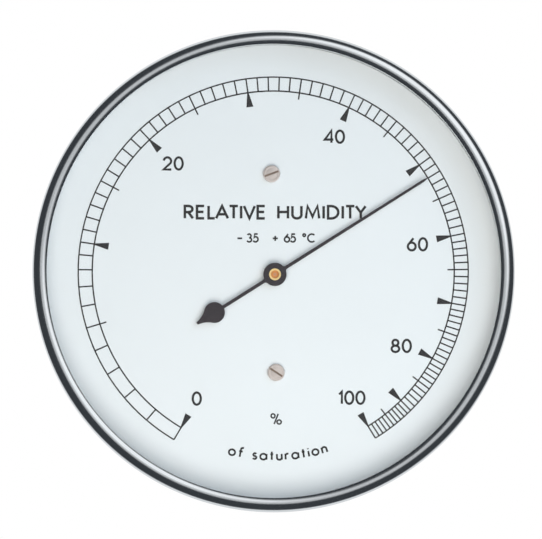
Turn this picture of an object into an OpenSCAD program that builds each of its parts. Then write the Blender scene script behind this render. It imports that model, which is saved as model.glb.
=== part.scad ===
// Round wall hygrometer. A bundle of hairs grows longer as the air gets damper, a toothed
// sector follows its end, and a pinion on the pointer's arbor makes that travel large.
// The dial faces -Y, +Z is up, and the origin is the middle of the flat back, on the wall.
// Each sub-part is drawn as a reader sees the dial: x to the right, y up, and z from the
// back face (z = 0) towards the reader. Lengths are in millimetres, angles in degrees.

/* [Case] */
// Outer diameter of the case body
case_d = 100; // [96:1:110]
// Thickness of the drawn sheet of the case
case_wall = 0.8; // [0.6:0.1:1]
// Outer radius of the corner between the back and the side
corner_r = 4; // [3:0.5:5]
// How far the neck under the bezel is drawn in
neck_step = 0.7; // [0.6:0.05:0.8]
// Wall of the neck, thinner than the rest of the case
neck_wall = 0.5; // [0.4:0.05:0.8]
// Number of air slots in a full ring of the back
back_slots = 24; // [12:4:24]
// Width of an air slot in the back
back_slot_w = 2.6; // [1.5:0.1:3.5]
// Inner end of the back slots, from the middle
back_slot_in = 33.5; // [33:0.5:36]
// Distance of the outer end of the back slots from the side
back_slot_edge = 7; // [6:0.5:9]
// Number of air slots in the side
side_slots = 24; // [12:4:30]
// Length of an air slot in the side
side_slot_l = 7.8; // [4:0.2:9]
// Width of an air slot in the side
side_slot_w = 2.2; // [1.5:0.1:2.6]
// Height of the middle of the side slots above the back face
side_slot_z = 7; // [6:0.5:8]

/* [Wall keyhole] */
// Radius of the round hole that passes the head of the wall screw
keyhole_r = 4.5; // [3.5:0.1:5]
// Width of the slot that hangs on the screw
keyhole_slot_w = 4.6; // [3.5:0.1:5.5]
// Distance of the middle of the round hole from the side
keyhole_edge = 17; // [15:0.5:17.5]
// Rise from the middle of the round hole to the end of the slot
keyhole_rise = 6; // [4.5:0.5:7]

/* [Bezel and glass] */
// How far the bezel stands proud of the case body
bezel_proud = 1.5; // [1.2:0.1:2.5]
// Width of the rounded bezel, seen from the front
bezel_w = 3.05; // [2.6:0.05:3.6]
// Height of the bezel's crown above the glass
bezel_crown = 2.4; // [2:0.1:4]
// Length of the bezel's skirt over the neck, below the seal
bezel_skirt = 5.2; // [3:0.1:7]
// Thickness of the glass
glass_t = 2; // [1.5:0.1:3]
// Height of the glass above the dial
glass_gap = 2.6; // [2.5:0.1:4]
// Thickness of the rubber seal under the glass
seal_t = 0.4; // [0.3:0.1:1]

/* [Dial] */
// Thickness of the dial plate
dial_t = 0.8; // [0.5:0.1:1.5]
// Radius of the inner arc of the scale
scale_r = 38.8; // [34:0.1:39.5]
// Distance between the two arcs of the scale
scale_w = 3; // [2:0.1:4]
// Width of the printed lines
line_w = 0.3; // [0.2:0.05:0.5]
// How far the mark at each fifth line reaches inside the inner arc
five_l = 1.45; // [1:0.05:2]
// Length of the wedge at each tenth line
wedge_l = 3.1; // [2:0.1:4]
// Width of the wedge at its base
wedge_w = 1.5; // [1:0.1:2]
// Thickness of the printed ink
ink_t = 0.05; // [0.03:0.01:0.1]

/* [Pointer] */
// Direction of the pointer at rest, anticlockwise from the right
pointer_a = 32.3; // [-40:0.1:200]
// Height of the pointer's boss above the dial
pointer_gap = 1.1; // [1.1:0.05:1.3]
// Thickness of the pointer's blade
blade_t = 0.3; // [0.2:0.05:0.4]
// Width of the blade at the boss
blade_w = 0.74; // [0.5:0.02:1]
// Width of the blade near its tip
blade_tip_w = 0.56; // [0.2:0.02:0.6]
// Radius of the pointer's boss
boss_r = 2.5; // [2:0.02:3]
// Thickness of the pointer's boss
boss_t = 0.6; // [0.5:0.05:0.7]
// Distance of the tail's disc behind the arbor
tail_x = 15.3; // [12:0.1:17]
// Radius of the tail's disc
tail_r = 2.23; // [1.8:0.01:2.6]
// Length of the flare from the disc's middle to its blunt end
flare_l = 4.4; // [3.8:0.1:5]
// Width of the blunt end of the tail
tail_end_w = 0.6; // [0.4:0.05:0.8]
// Outer radius of the brass bush in the boss
bush_r = 1.28; // [1.1:0.02:1.6]

/* [Movement] */
// Thickness of the two movement plates
plate_t = 1.2; // [1:0.1:1.6]
// Space behind the base plate
base_space = 6.2; // [6:0.1:8]
// Space between the two movement plates
plate_space = 10.8; // [10.6:0.1:12]
// Height of the posts between the front plate and the dial
dial_post_h = 5; // [4:0.1:8]
// Half the distance between the two dial screws
dial_screw_y = 21.3; // [19:0.1:22]
// Lean of the line through the two dial screws
dial_screw_a = 1.3; // [-3:0.1:3]
// Radius of the heads of the dial screws
dial_head_r = 1.85; // [1.6:0.05:2.2]
// Height of the heads of the dial screws
dial_head_h = 0.9; // [0.7:0.05:1]
// Radius of the pillars between the plates
pillar_r = 2.2; // [1.8:0.1:2.6]

/* [Gearing] */
// Distance between the pointer's arbor and the sector's pivot
centre_distance = 24; // [23.6:0.2:25.6]
// Teeth of the pinion
pinion_teeth = 10; // [10:1:12]
// Teeth that the sector would have as a whole wheel
sector_teeth = 150; // [140:2:160]
// Thickness of the sector
sector_t = 1; // [0.8:0.1:1.4]
// Backlash along the pitch circle
backlash = 0.05; // [0.04:0.01:0.08]
// Direction of the sector's pivot from the pointer's arbor
pivot_a = -60; // [-64:1:-56]

/* [Hair and springs] */
// Arm from the sector's pivot to the hook that holds the hair
hook_arm = 4.5; // [4.2:0.1:5]
// Radius of the bundle of hairs
hair_r = 0.42; // [0.3:0.02:0.5]
// Distance from the hair's free end to the end of its upper clamp
hair_end_gap = 1.8; // [1.7:0.1:3]
// Arm from the sector's pivot to the tension spring
spring_arm = 7; // [6.5:0.1:7.5]
// Height of the tension spring's fixed post above the arbor
spring_post_y = 6; // [3:0.5:9]
// Mean radius of the tension spring
coil_r = 1.25; // [1:0.05:1.3]
// Wire radius of the tension spring
wire_r = 0.2; // [0.15:0.01:0.22]
// Turns of the tension spring
coil_turns = 14; // [8:1:18]
// Turns of the hairspring
hairspring_turns = 3.5; // [2.5:0.5:4.5]
// Thickness of the hairspring's ribbon
ribbon_t = 0.12; // [0.1:0.01:0.16]

/* [Zero adjustment] */
// How deep the adjusting screw's head sits inside the case
head_sink = 1.5; // [1.2:0.1:2.5]
// Length of the anchor slide along the hair
slide_l = 5.5; // [5:0.1:5.6]
// Width of the anchor slide
slide_w = 6; // [5.5:0.1:7]
// Travel of the anchor slide to each side
slide_travel = 0.45; // [0.2:0.05:0.5]
// Length of the window in the side for the screwdriver
window_l = 9; // [8:0.5:12]
// Width of the window in the side
window_w = 6.4; // [5:0.2:6.4]

/* [Hidden] */
$fn = 64;

// Clearances and small allowances
run_fit = 0.03;     // radial clearance of a pivot in its bush
slide_fit = 0.05;   // clearance on each side of the slide
loose_fit = 0.1;    // radial clearance of a screw in its hole
press_gap = 0.05;   // radial gap of the bezel over the neck
glass_gap_r = 0.15; // radial gap round the glass
dial_gap = 0.1;     // radial gap round the dial
end_play = 0.2;     // axial play of an arbor
rivet_fit = 0.02;   // radial clearance of a rivet in its hole
slot_clear = 0.1;   // clearance behind the hairspring in the slit of its stud
cut = 1;            // how far a cutter runs past the face that it cuts
lap = 0.01;         // how far two shapes of one piece run into each other

// Stack from the back face to the crown
base_z = case_wall + base_space;
base_top = base_z + plate_t;
front_z = base_top + plate_space;
front_top = front_z + plate_t;
dial_z = front_top + dial_post_h;
dial_top = dial_z + dial_t;
glass_z = dial_top + glass_gap;
glass_top = glass_z + glass_t;
case_depth = glass_top + bezel_crown;
neck_top = glass_z - seal_t;
shoulder_z = neck_top - bezel_skirt;

// Radii, from the case body to the things that seat in it
case_r = case_d / 2;
neck_r = case_r - neck_step;
neck_in_r = neck_r - neck_wall;
bezel_r = case_r + bezel_proud;
bezel_in_r = neck_r + press_gap;
opening_r = bezel_r - bezel_w;
bead_r = bezel_w / 2;
skirt_edge_r = 0.5;
glass_r = bezel_in_r - glass_gap_r;
glass_bevel = 0.1;
dial_r = neck_in_r - dial_gap;
back_slot_out = case_r - back_slot_edge;
keyhole_y = case_r - keyhole_edge;

// The movement stands a little off the middle of the case
movement_x = 0.3;
movement_y = -0.64;

// Arbors, pivots and bushes
arbor_r = 0.9;
pivot_r = 0.5;
pointer_pivot_r = 0.7;
arbor_tip_r = 0.35;
bearing_r = 1.8;
bearing_proud = 0.2;
arbor_low = base_top + bearing_proud + end_play;
arbor_high = front_z - bearing_proud - end_play;

// Pillars at the corners of a rectangle round the movement
pillar_left = -9;
pillar_right = 18;
pillar_low = -29;
pillar_high = 24;
pillar_places = [for (x = [pillar_left, pillar_right], y = [pillar_low, pillar_high]) [x, y]];
plate_margin = 4;
tenon_r = 1.4;
plate_screw_r = 1;
plate_head_r = 2;
plate_head_h = 1.4;
plate_screw_l = 3;
plate_slot_turns = [35, 105, 175, 245];
tapped_depth = 3.6;

// Screws that hold the base plate to the case
back_screw_places = [[-9, 6], [14, 12], [4.5, -26]];
back_screw_r = 1.25;
back_head_r = 2.35;
back_head_sink = 0.05;
boss_pad_r = 4;
boss_pad_h = 1;
back_driver_slot = 0.5;
back_slot_turns = [25, 85, 145];
back_screw_end = 0.5;
spacer_r = 3;
nut_flats = 5;
nut_h = 2;
nut_turns = [0, 20, 40];

// Dial posts and screws
dial_post_r = 2.5;
dial_screw_r = 1;
dial_screw_l = 3.5;
post_tenon_r = 1.5;
dial_screws_off = [-0.2, 0.34]; // middle between the screws, from the arbor
dial_places = [for (s = [-1, 1])
    dial_screws_off + dial_screw_y * s * [-sin(dial_screw_a), cos(dial_screw_a)]];
slot_w = 0.42;
slot_share = 0.5;
slot_turns = [147, 20];

// Scale: the angle at each tenth line, found by calibration
tenth_angles = [239.4, 171.3, 133.2, 98.1, 65.3, 36.2, 11.4, -10, -28.6, -45.3, -58.5];
tenth = 10;
full_scale = tenth * (len(tenth_angles) - 1);
wedge_tip_w = 0.3;
function reading_angle(h) =
    let (
        d = min(len(tenth_angles) - 2, floor(h / tenth)),
        u = h / tenth - d,
        share = d == 0 ? u * (3 - u) / 2 : u
    )
    tenth_angles[d] + (tenth_angles[d + 1] - tenth_angles[d]) * share;

// Pointer
pointer_reach = scale_r;
point_l = 1.2;
blade_z = dial_top + pointer_gap + (boss_t - blade_t) / 2;
boss_z = dial_top + pointer_gap;
boss_top = boss_z + boss_t;
arbor_tip_h = 0.15;
bush_proud = 0.3;
bush_lip = 0.4;
arbor_tip_z = boss_top + arbor_tip_h;
bush_top = boss_top + bush_proud;
bush_low = boss_z - bush_lip;
bush_sink_r = 1.02;
bush_sink_h = 0.35;
flare_steps = 8;
flare_start = 133;

// Gear pair: the pinion's teeth are moved out and the sector's in, so that a pinion
// with few teeth isn't undercut, at the plain centre distance
pressure_a = 20;
shift = 0.4;
tip_share = 1;
root_share = 1.25;
gear_m = 2 * centre_distance / (pinion_teeth + sector_teeth);
gear_ratio = sector_teeth / pinion_teeth;
pivot = centre_distance * [cos(pivot_a), sin(pivot_a)];
mesh_a = pivot_a + 180;
tooth_pitch_a = 360 / sector_teeth;
spare_teeth = 2;
teeth_to_wet = ceil((pointer_a - tenth_angles[10]) / gear_ratio / tooth_pitch_a) + spare_teeth;
teeth_to_dry = ceil((tenth_angles[0] - pointer_a) / gear_ratio / tooth_pitch_a) + spare_teeth;
swing_to_wet = (pointer_a - tenth_angles[10]) / gear_ratio;
swing_to_dry = (tenth_angles[0] - pointer_a) / gear_ratio;
pinion_t = 2.2;
sector_drop = 2.6;
sector_z = arbor_high - sector_drop - sector_t;
pinion_z = sector_z + sector_t / 2 - pinion_t / 2;
rim_w = 2.6;
spoke_w = 2;
spoke_a = 9;
hub_r = 2.4;
hub_extra = 0.8;

// Hair line, clamps and the pins that hold them. The lever lies level at mid-travel, so
// that its hook keeps nearly to one upright line
hair_rise = 3.9;
hair_z = base_top + hair_rise;
lever_t = 0.8;
lever_drop = 1.5;
lever_z = hair_z - lever_drop;
lever_tilt = (swing_to_dry - swing_to_wet) / 2;
half_swing = (swing_to_dry + swing_to_wet) / 2;
hook = pivot - hook_arm * [cos(lever_tilt), sin(lever_tilt)];
spring_end = pivot + spring_arm * [cos(lever_tilt), sin(lever_tilt)];
lever_w = 2;
lever_eye_r = 1.3;
pin_r = 0.5;
pin_head_r = 0.85;
pin_head_t = 0.35;
eye_r = 1.6;
eye_t = 1;
eye_clear = 0.25;
clamp_r = 1.1;
clamp_l = 5;
clamp_rise = 3.8;
clamp_low = hook[1] + clamp_rise;
clamp_wall_in = 0.5;
upper_clamp_l = 4;
upper_clamp_seat = 1;

// Tension spring
spring_post = [spring_end[0], spring_post_y];
post_r = 1.2;
loop_clear = 0.12;
hook_loop_r = pin_r + wire_r + loop_clear;
coil_ring_steps = 8;
wire_sides = 6;
coil_end_gap = 2.4;
end_bend = [[0.45, 0.21], [0.85, 0.5], [1, 0.86]];

// Hairspring
hairspring_z = base_top + 1.4;
ribbon_h = 0.8;
collet_r = 1.6;
collet_h = 1.6;
ribbon_gap = 0.04;
hairspring_in = collet_r + ribbon_gap + ribbon_t / 2;
hairspring_out = 5.2;
hairspring_end_a = 160;
stud_r = 0.9;
stud_slit = 0.4;
pin_end = 0.6;
spiral_steps = 24;

// Stops for the lever's spring arm
stop_r = 0.6;
stop_arm = 5;
stop_margin = 0.8;
stop_lead = asin((lever_w / 2 + stop_r) / stop_arm);

// Zero adjustment at the hair's upper end
screw_r = 1.25;
screw_bore = screw_r + slide_fit;
slide_t = 5.9;
bracket_wall = 0.8;
bracket_foot_w = 2.7;
bracket_foot_l = 9;
end_wall = 1;
clip_r = 2;
clip_t = 0.8;
clip_gap = 0.1;
head_r = 2.6;
head_h = 2;
head_slot_a = 30;
clip_play = 0.35;
tunnel_lead = 1.5;
tip_drop = 0.15;
bore_lead = 0.15;
slide_x = pivot[0] - hook_arm * (1 + cos(half_swing)) / 2;
case_inside_y = sqrt(pow(case_r - case_wall, 2) - pow(slide_x + movement_x, 2)) - movement_y;
head_low = case_inside_y - head_sink - head_h;
end_wall_high = head_low - clip_gap;
end_wall_low = end_wall_high - end_wall;
clip_low = end_wall_low - clip_gap - clip_t;
slide_high = clip_low - clip_play - slide_travel;
slide_low = slide_high - slide_l;
slide_y = slide_high - slide_l / 2;
hair_top = slide_low + upper_clamp_seat - hair_end_gap;
tunnel_low = slide_low - slide_travel - tunnel_lead;
tunnel_w = slide_w + 2 * slide_fit;
bracket_z = base_top;
channel_z = bracket_z + bracket_wall;
channel_top = channel_z + slide_t + 2 * slide_fit;
screw_tip = slide_y - tip_drop;
screw_bore_low = screw_tip - slide_travel - bore_lead;
rivet_r = 0.8;
rivet_head_r = 1.3;
rivet_head_t = 0.6;
rivet_tail_t = 0.5;
rivet_drop = 3.5;
rivet_y = end_wall_high - rivet_drop;
rivet_x = tunnel_w / 2 + bracket_wall + bracket_foot_w / 2;
arm_w = tunnel_w + 2 * (bracket_wall + bracket_foot_w);

// Gauze behind the back slots
gauze_t = 0.2;
gauze_margin = 1.5;
gauze_gap_w = 2 * (keyhole_r + gauze_margin);

// Turns a drawing of the dial so that it faces -Y, with its back on the wall
module facing_front() rotate([90, 0, 0]) children();

// The same, for what stands on the movement
module in_movement() facing_front() translate([movement_x, movement_y, 0]) children();

module at(p, z = 0) translate([p[0], p[1], z]) children();

module tube(r, bore, h) difference() {
    cylinder(r = r, h = h);
    translate([0, 0, -cut]) cylinder(r = bore, h = h + 2 * cut);
}

// A bar with round ends from one point to another
module bar_between(a, b, w) {
    d = b - a;
    at(a) rotate(atan2(d[1], d[0])) translate([0, -w / 2]) square([norm(d), w]);
    at(a) circle(d = w);
    at(b) circle(d = w);
}

module rounded_plate(x0, y0, x1, y1, r) {
    translate([x0 + r, y0]) square([x1 - x0 - 2 * r, y1 - y0]);
    translate([x0, y0 + r]) square([x1 - x0, y1 - y0 - 2 * r]);
    for (x = [x0 + r, x1 - r], y = [y0 + r, y1 - r]) translate([x, y]) circle(r = r);
}

// Case

// A drawn cup's section: flat bottom, round corner of radius c, straight side
module cup_section(r, h, c) {
    square([r - c, h]);
    translate([0, c]) square([r, h - c]);
    translate([r - c, c]) circle(r = c);
}

module case_section() difference() {
    union() {
        cup_section(case_r, shoulder_z, corner_r);
        translate([0, shoulder_z - lap]) square([neck_r, neck_top - shoulder_z + lap]);
    }
    translate([0, case_wall])
        cup_section(case_r - case_wall, shoulder_z - 2 * case_wall, corner_r - case_wall);
    translate([0, corner_r]) square([neck_in_r, neck_top]);
}

module slot_bar(l, w, h) {
    translate([-(l - w) / 2, -w / 2, 0]) cube([l - w, w, h]);
    for (s = [-1, 1]) translate([s * (l - w) / 2, 0, 0]) cylinder(d = w, h = h);
}

module back_slot_cuts() {
    l = back_slot_out - back_slot_in;
    for (i = [1 : back_slots - 1])
        rotate(90 + i * 360 / back_slots)
            translate([back_slot_in + l / 2, 0, -cut]) slot_bar(l, back_slot_w, case_wall + 2 * cut);
}

module side_slot_cuts() {
    for (i = [0 : side_slots - 1])
        rotate((i + 0.5) * 360 / side_slots)
            translate([case_r - 3 * case_wall, 0, side_slot_z])
                rotate([90, 0, 90]) slot_bar(side_slot_l, side_slot_w, 5 * case_wall);
}

module keyhole_cut() translate([0, keyhole_y, -cut]) {
    cylinder(r = keyhole_r, h = case_wall + 2 * cut);
    translate([-keyhole_slot_w / 2, 0, 0])
        cube([keyhole_slot_w, keyhole_rise, case_wall + 2 * cut]);
    translate([0, keyhole_rise, 0]) cylinder(d = keyhole_slot_w, h = case_wall + 2 * cut);
}

module window_cut()
    translate([slide_x + movement_x, case_r - 8 * case_wall, hair_z])
        rotate([-90, 0, 0]) slot_bar(window_l, window_w, 10 * case_wall);

module back_screw_cut() {
    cylinder(r1 = back_head_r + loose_fit, r2 = back_screw_r + loose_fit,
             h = back_head_r - back_screw_r);
    translate([0, 0, -cut]) cylinder(r = back_screw_r + loose_fit, h = 6 * cut);
}

module case_shell() color("lightsteelblue") facing_front() difference() {
    union() {
        rotate_extrude() case_section();
        for (p = back_screw_places)
            translate([p[0] + movement_x, p[1] + movement_y, case_wall - lap])
                cylinder(r = boss_pad_r, h = boss_pad_h + lap);
    }
    back_slot_cuts();
    side_slot_cuts();
    keyhole_cut();
    window_cut();
    for (p = back_screw_places)
        translate([p[0] + movement_x, p[1] + movement_y, -lap]) back_screw_cut();
}

module bezel_ring() color("slategray") facing_front() rotate_extrude() {
    crown_z = case_depth - bead_r;
    translate([bezel_r - bead_r, crown_z]) intersection() {
        circle(r = bead_r);
        translate([-bead_r, -lap]) square([bezel_w, bezel_w]);
    }
    translate([opening_r, glass_top]) square([bezel_w, crown_z - glass_top]);
    translate([bezel_in_r, shoulder_z + skirt_edge_r])
        square([bezel_r - bezel_in_r, glass_top - shoulder_z - skirt_edge_r + lap]);
    translate([bezel_in_r, shoulder_z])
        square([bezel_r - bezel_in_r - skirt_edge_r, skirt_edge_r + lap]);
    translate([bezel_r - skirt_edge_r, shoulder_z + skirt_edge_r]) circle(r = skirt_edge_r);
}

module front_glass() color("lightcyan", 0.3) facing_front() translate([0, 0, glass_z]) {
    cylinder(r1 = glass_r - glass_bevel, r2 = glass_r, h = glass_bevel);
    translate([0, 0, glass_bevel]) cylinder(r = glass_r, h = glass_t - 2 * glass_bevel);
    translate([0, 0, glass_t - glass_bevel])
        cylinder(r1 = glass_r, r2 = glass_r - glass_bevel, h = glass_bevel);
}

module glass_seal() color("dimgray") facing_front()
    translate([0, 0, neck_top]) tube(glass_r - glass_bevel, neck_in_r, seal_t);

module vent_gauze() color("goldenrod") facing_front() translate([0, 0, case_wall]) difference() {
    tube(back_slot_out + gauze_margin, back_slot_in - gauze_margin, gauze_t);
    translate([-gauze_gap_w / 2, 0, -cut]) cube([gauze_gap_w, case_r, gauze_t + 2 * cut]);
}

// Dial

module dial_plate() color("whitesmoke") facing_front() translate([0, 0, dial_z]) difference() {
    cylinder(r = dial_r, h = dial_t);
    translate([movement_x, movement_y, -cut]) {
        cylinder(r = bearing_r, h = dial_t + 2 * cut);
        for (p = dial_places) at(p) cylinder(r = dial_screw_r + loose_fit, h = dial_t + 2 * cut);
    }
}

module scale_line(h, from_r, to_r)
    rotate(reading_angle(h)) translate([from_r, -line_w / 2]) square([to_r - from_r, line_w]);

module scale_wedge(h) rotate(reading_angle(h)) polygon([
    [scale_r, wedge_tip_w / 2], [scale_r - wedge_l, wedge_w / 2],
    [scale_r - wedge_l, -wedge_w / 2], [scale_r, -wedge_tip_w / 2]
]);

module scale_arc(r) {
    first = tenth_angles[10];
    rotate(first) rotate_extrude(angle = tenth_angles[0] - first)
        translate([r - line_w / 2, 0]) square([line_w, ink_t]);
}

module dial_markings() color("black") facing_front() translate([0, 0, dial_top]) {
    for (r = [scale_r, scale_r + scale_w]) scale_arc(r);
    linear_extrude(ink_t) {
        for (h = [0 : full_scale])
            scale_line(h, h % tenth == tenth / 2 ? scale_r - five_l : scale_r, scale_r + scale_w);
        for (h = [0 : tenth : full_scale]) scale_wedge(h);
    }
}

// A cheese head with a rounded edge and a driver slot, standing on z = 0
module slotted_head(r, h, slot_a) difference() {
    edge = h / 2;
    rotate_extrude() {
        square([r - edge, h]);
        square([r, h - edge]);
        translate([r - edge, h - edge]) intersection() {
            circle(r = edge);
            square(edge);
        }
    }
    rotate(slot_a) translate([-r - cut, -slot_w / 2, h * (1 - slot_share)])
        cube([2 * (r + cut), slot_w, h]);
}

module dial_screws() color("silver") in_movement()
    for (i = [0, 1]) at(dial_places[i], dial_top) {
        slotted_head(dial_head_r, dial_head_h, slot_turns[i]);
        translate([0, 0, -dial_screw_l]) cylinder(r = dial_screw_r, h = dial_screw_l + lap);
    }

module dial_posts() color("darkkhaki") in_movement()
    for (p = dial_places) at(p) difference() {
        union() {
            translate([0, 0, front_top]) cylinder(r = dial_post_r, h = dial_post_h);
            translate([0, 0, front_z]) cylinder(r = post_tenon_r, h = plate_t + lap);
        }
        translate([0, 0, dial_top - dial_screw_l - loose_fit])
            cylinder(r = dial_screw_r, h = dial_screw_l);
    }

// Movement frame

module movement_outline() rounded_plate(
    pillar_left - plate_margin, pillar_low - plate_margin,
    pillar_right + plate_margin, pillar_high + plate_margin, plate_margin);

module base_plate() color("darkkhaki") in_movement() translate([0, 0, base_z]) difference() {
    linear_extrude(plate_t) {
        movement_outline();
        translate([slide_x, 0]) rounded_plate(-arm_w / 2, 0, arm_w / 2, end_wall_high, 2);
    }
    translate([0, 0, -cut]) {
        for (p = pillar_places) at(p) cylinder(r = tenon_r, h = plate_t + 2 * cut);
        for (p = [[0, 0], pivot]) at(p) cylinder(r = bearing_r, h = plate_t + 2 * cut);
        for (p = back_screw_places)
            at(p) cylinder(r = back_screw_r + loose_fit, h = plate_t + 2 * cut);
        for (s = [-1, 1])
            at([slide_x + s * rivet_x, rivet_y])
                cylinder(r = rivet_r + rivet_fit, h = plate_t + 2 * cut);
    }
}

module front_plate() color("darkkhaki") in_movement() translate([0, 0, front_z]) difference() {
    linear_extrude(plate_t) movement_outline();
    translate([0, 0, -cut]) {
        for (p = pillar_places)
            at(p) cylinder(r = plate_screw_r + loose_fit, h = plate_t + 2 * cut);
        for (p = [[0, 0], pivot]) at(p) cylinder(r = bearing_r, h = plate_t + 2 * cut);
        for (p = dial_places) at(p) cylinder(r = post_tenon_r, h = plate_t + 2 * cut);
    }
}

module plate_pillars() color("goldenrod") in_movement()
    for (p = pillar_places) at(p) difference() {
        union() {
            translate([0, 0, base_top]) cylinder(r = pillar_r, h = plate_space);
            translate([0, 0, base_z]) cylinder(r = tenon_r, h = plate_t + lap);
        }
        translate([0, 0, front_z - tapped_depth])
            cylinder(r = plate_screw_r, h = tapped_depth + cut);
    }

module plate_screws() color("silver") in_movement()
    for (i = [0 : 3]) at(pillar_places[i], front_top) {
        slotted_head(plate_head_r, plate_head_h, plate_slot_turns[i]);
        translate([0, 0, -plate_t - plate_screw_l])
            cylinder(r = plate_screw_r, h = plate_t + plate_screw_l + lap);
    }

module rear_bushes() color("gold") in_movement()
    for (p = [[0, 0], pivot])
        at(p, base_z - bearing_proud)
            tube(bearing_r, pivot_r + run_fit, plate_t + 2 * bearing_proud);

module front_bushes() color("gold") in_movement() {
    at([0, 0], front_z - bearing_proud)
        tube(bearing_r, pointer_pivot_r + run_fit, plate_t + 2 * bearing_proud);
    at(pivot, front_z - bearing_proud)
        tube(bearing_r, pivot_r + run_fit, plate_t + 2 * bearing_proud);
}

module base_spacers() color("silver") in_movement()
    for (p = back_screw_places)
        at(p, case_wall + boss_pad_h)
            tube(spacer_r, back_screw_r + loose_fit, base_space - boss_pad_h);

module back_screws() color("silver") in_movement()
    for (i = [0 : 2]) at(back_screw_places[i], back_head_sink) difference() {
        union() {
            cylinder(r1 = back_head_r, r2 = back_screw_r, h = back_head_r - back_screw_r);
            cylinder(r = back_screw_r, h = base_top + nut_h + back_screw_end - back_head_sink);
        }
        rotate(back_slot_turns[i]) translate([-back_head_r - cut, -slot_w, -cut])
            cube([2 * (back_head_r + cut), 2 * slot_w, cut + back_driver_slot]);
    }

module base_nuts() color("silver") in_movement()
    for (i = [0 : 2]) at(back_screw_places[i], base_top) difference() {
        rotate(nut_turns[i]) cylinder(d = nut_flats / cos(30), h = nut_h, $fn = 6);
        translate([0, 0, -cut]) cylinder(r = back_screw_r, h = nut_h + 2 * cut);
    }

// Pointer and its arbor

// The tail's flare: a concave arc on each side, tangent to the disc, down to a blunt end
function flare_side() =
    let (
        end = [-tail_x - flare_l, tail_end_w / 2],
        middle = [-tail_x, 0],
        d = middle - end,
        u = [cos(flare_start), sin(flare_start)],
        s = (tail_r * tail_r - d * d) / (2 * (d * u + tail_r)),
        arc_r = s - tail_r,
        c = middle + s * u,
        a0 = flare_start - 180,
        a1 = atan2(end[1] - c[1], end[0] - c[0])
    )
    [for (i = [0 : flare_steps]) c + arc_r * [
        cos(a0 + (a1 - a0) * i / flare_steps), sin(a0 + (a1 - a0) * i / flare_steps)]];

module pointer_shape() {
    side = flare_side();
    last = len(side) - 1;
    polygon(concat(
        [[-tail_x, 0]], side,
        [for (i = [0 : last]) [side[last - i][0], -side[last - i][1]]]
    ));
    translate([-tail_x, 0]) circle(r = tail_r);
    polygon([
        [-tail_x, blade_w / 2], [0, blade_w / 2],
        [pointer_reach - point_l, blade_tip_w / 2], [pointer_reach, 0],
        [pointer_reach - point_l, -blade_tip_w / 2], [0, -blade_w / 2], [-tail_x, -blade_w / 2]
    ]);
}

module pointer() color("dimgray") in_movement() rotate(pointer_a) difference() {
    union() {
        translate([0, 0, blade_z]) linear_extrude(blade_t) pointer_shape();
        translate([0, 0, boss_z]) cylinder(r = boss_r, h = boss_t);
    }
    translate([0, 0, boss_z - cut]) cylinder(r = bush_r, h = boss_t + 2 * cut);
}

module pointer_bush() color("gold") in_movement() difference() {
    translate([0, 0, bush_low]) cylinder(r = bush_r, h = bush_top - bush_low);
    translate([0, 0, bush_low - cut]) cylinder(r = arbor_tip_r, h = bush_top - bush_low + 2 * cut);
    translate([0, 0, bush_top - bush_sink_h])
        cylinder(r1 = pointer_pivot_r, r2 = bush_sink_r, h = bush_sink_h + lap);
}

module pointer_arbor() color("silver") in_movement() {
    translate([0, 0, base_z - bearing_proud])
        cylinder(r = pivot_r, h = arbor_low - base_z + bearing_proud + lap);
    translate([0, 0, arbor_low]) cylinder(r = arbor_r, h = arbor_high - arbor_low);
    translate([0, 0, arbor_high - lap])
        cylinder(r = pointer_pivot_r, h = bush_low - arbor_high + lap);
    translate([0, 0, bush_low - lap]) cylinder(r = arbor_tip_r, h = arbor_tip_z - bush_low + lap);
}

// Gears

// The involute of an angle, in degrees
function involute(a) = tan(a) * 180 / PI - a;

function polar(r, a) = r * [cos(a), sin(a)];

// Points of one tooth round the direction a, anticlockwise, from root to tip to root
function tooth_points(teeth, x, a) =
    let (
        pitch_r = gear_m * teeth / 2,
        base_r = pitch_r * cos(pressure_a),
        root_r = pitch_r - gear_m * (root_share - x),
        tip_r = pitch_r + gear_m * (tip_share + x),
        half = (gear_m * (PI / 2 + 2 * x * tan(pressure_a)) - backlash / 2) / pitch_r * 90 / PI,
        low_r = max(base_r, root_r),
        steps = 6,
        flank = [for (i = [0 : steps])
            let (r = low_r + (tip_r - low_r) * i / steps)
            [r, half + involute(pressure_a) - involute(acos(min(1, base_r / r)))]]
    )
    concat(
        low_r > root_r ? [polar(root_r, a - flank[0][1])] : [],
        [for (p = flank) polar(p[0], a - p[1])],
        [for (i = [0 : steps]) polar(flank[steps - i][0], a + flank[steps - i][1])],
        low_r > root_r ? [polar(root_r, a + flank[0][1])] : []
    );

module pinion() color("gold") in_movement() translate([0, 0, pinion_z]) difference() {
    linear_extrude(pinion_t) polygon([
        for (i = [0 : pinion_teeth - 1])
            each tooth_points(pinion_teeth, shift, pivot_a + (i + 0.5) * 360 / pinion_teeth)
    ]);
    translate([0, 0, -cut]) cylinder(r = arbor_r, h = pinion_t + 2 * cut);
}

// The toothed rim, drawn round the sector's pivot
module sector_rim() {
    rim_r = gear_m * sector_teeth / 2 - gear_m * (root_share + shift) - rim_w;
    polygon(concat(
        [for (k = [-teeth_to_wet : teeth_to_dry])
            each tooth_points(sector_teeth, -shift, mesh_a + k * tooth_pitch_a)],
        [for (k = [-teeth_to_wet : teeth_to_dry])
            polar(rim_r, mesh_a + (teeth_to_dry - teeth_to_wet - k) * tooth_pitch_a)]
    ));
}

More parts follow.
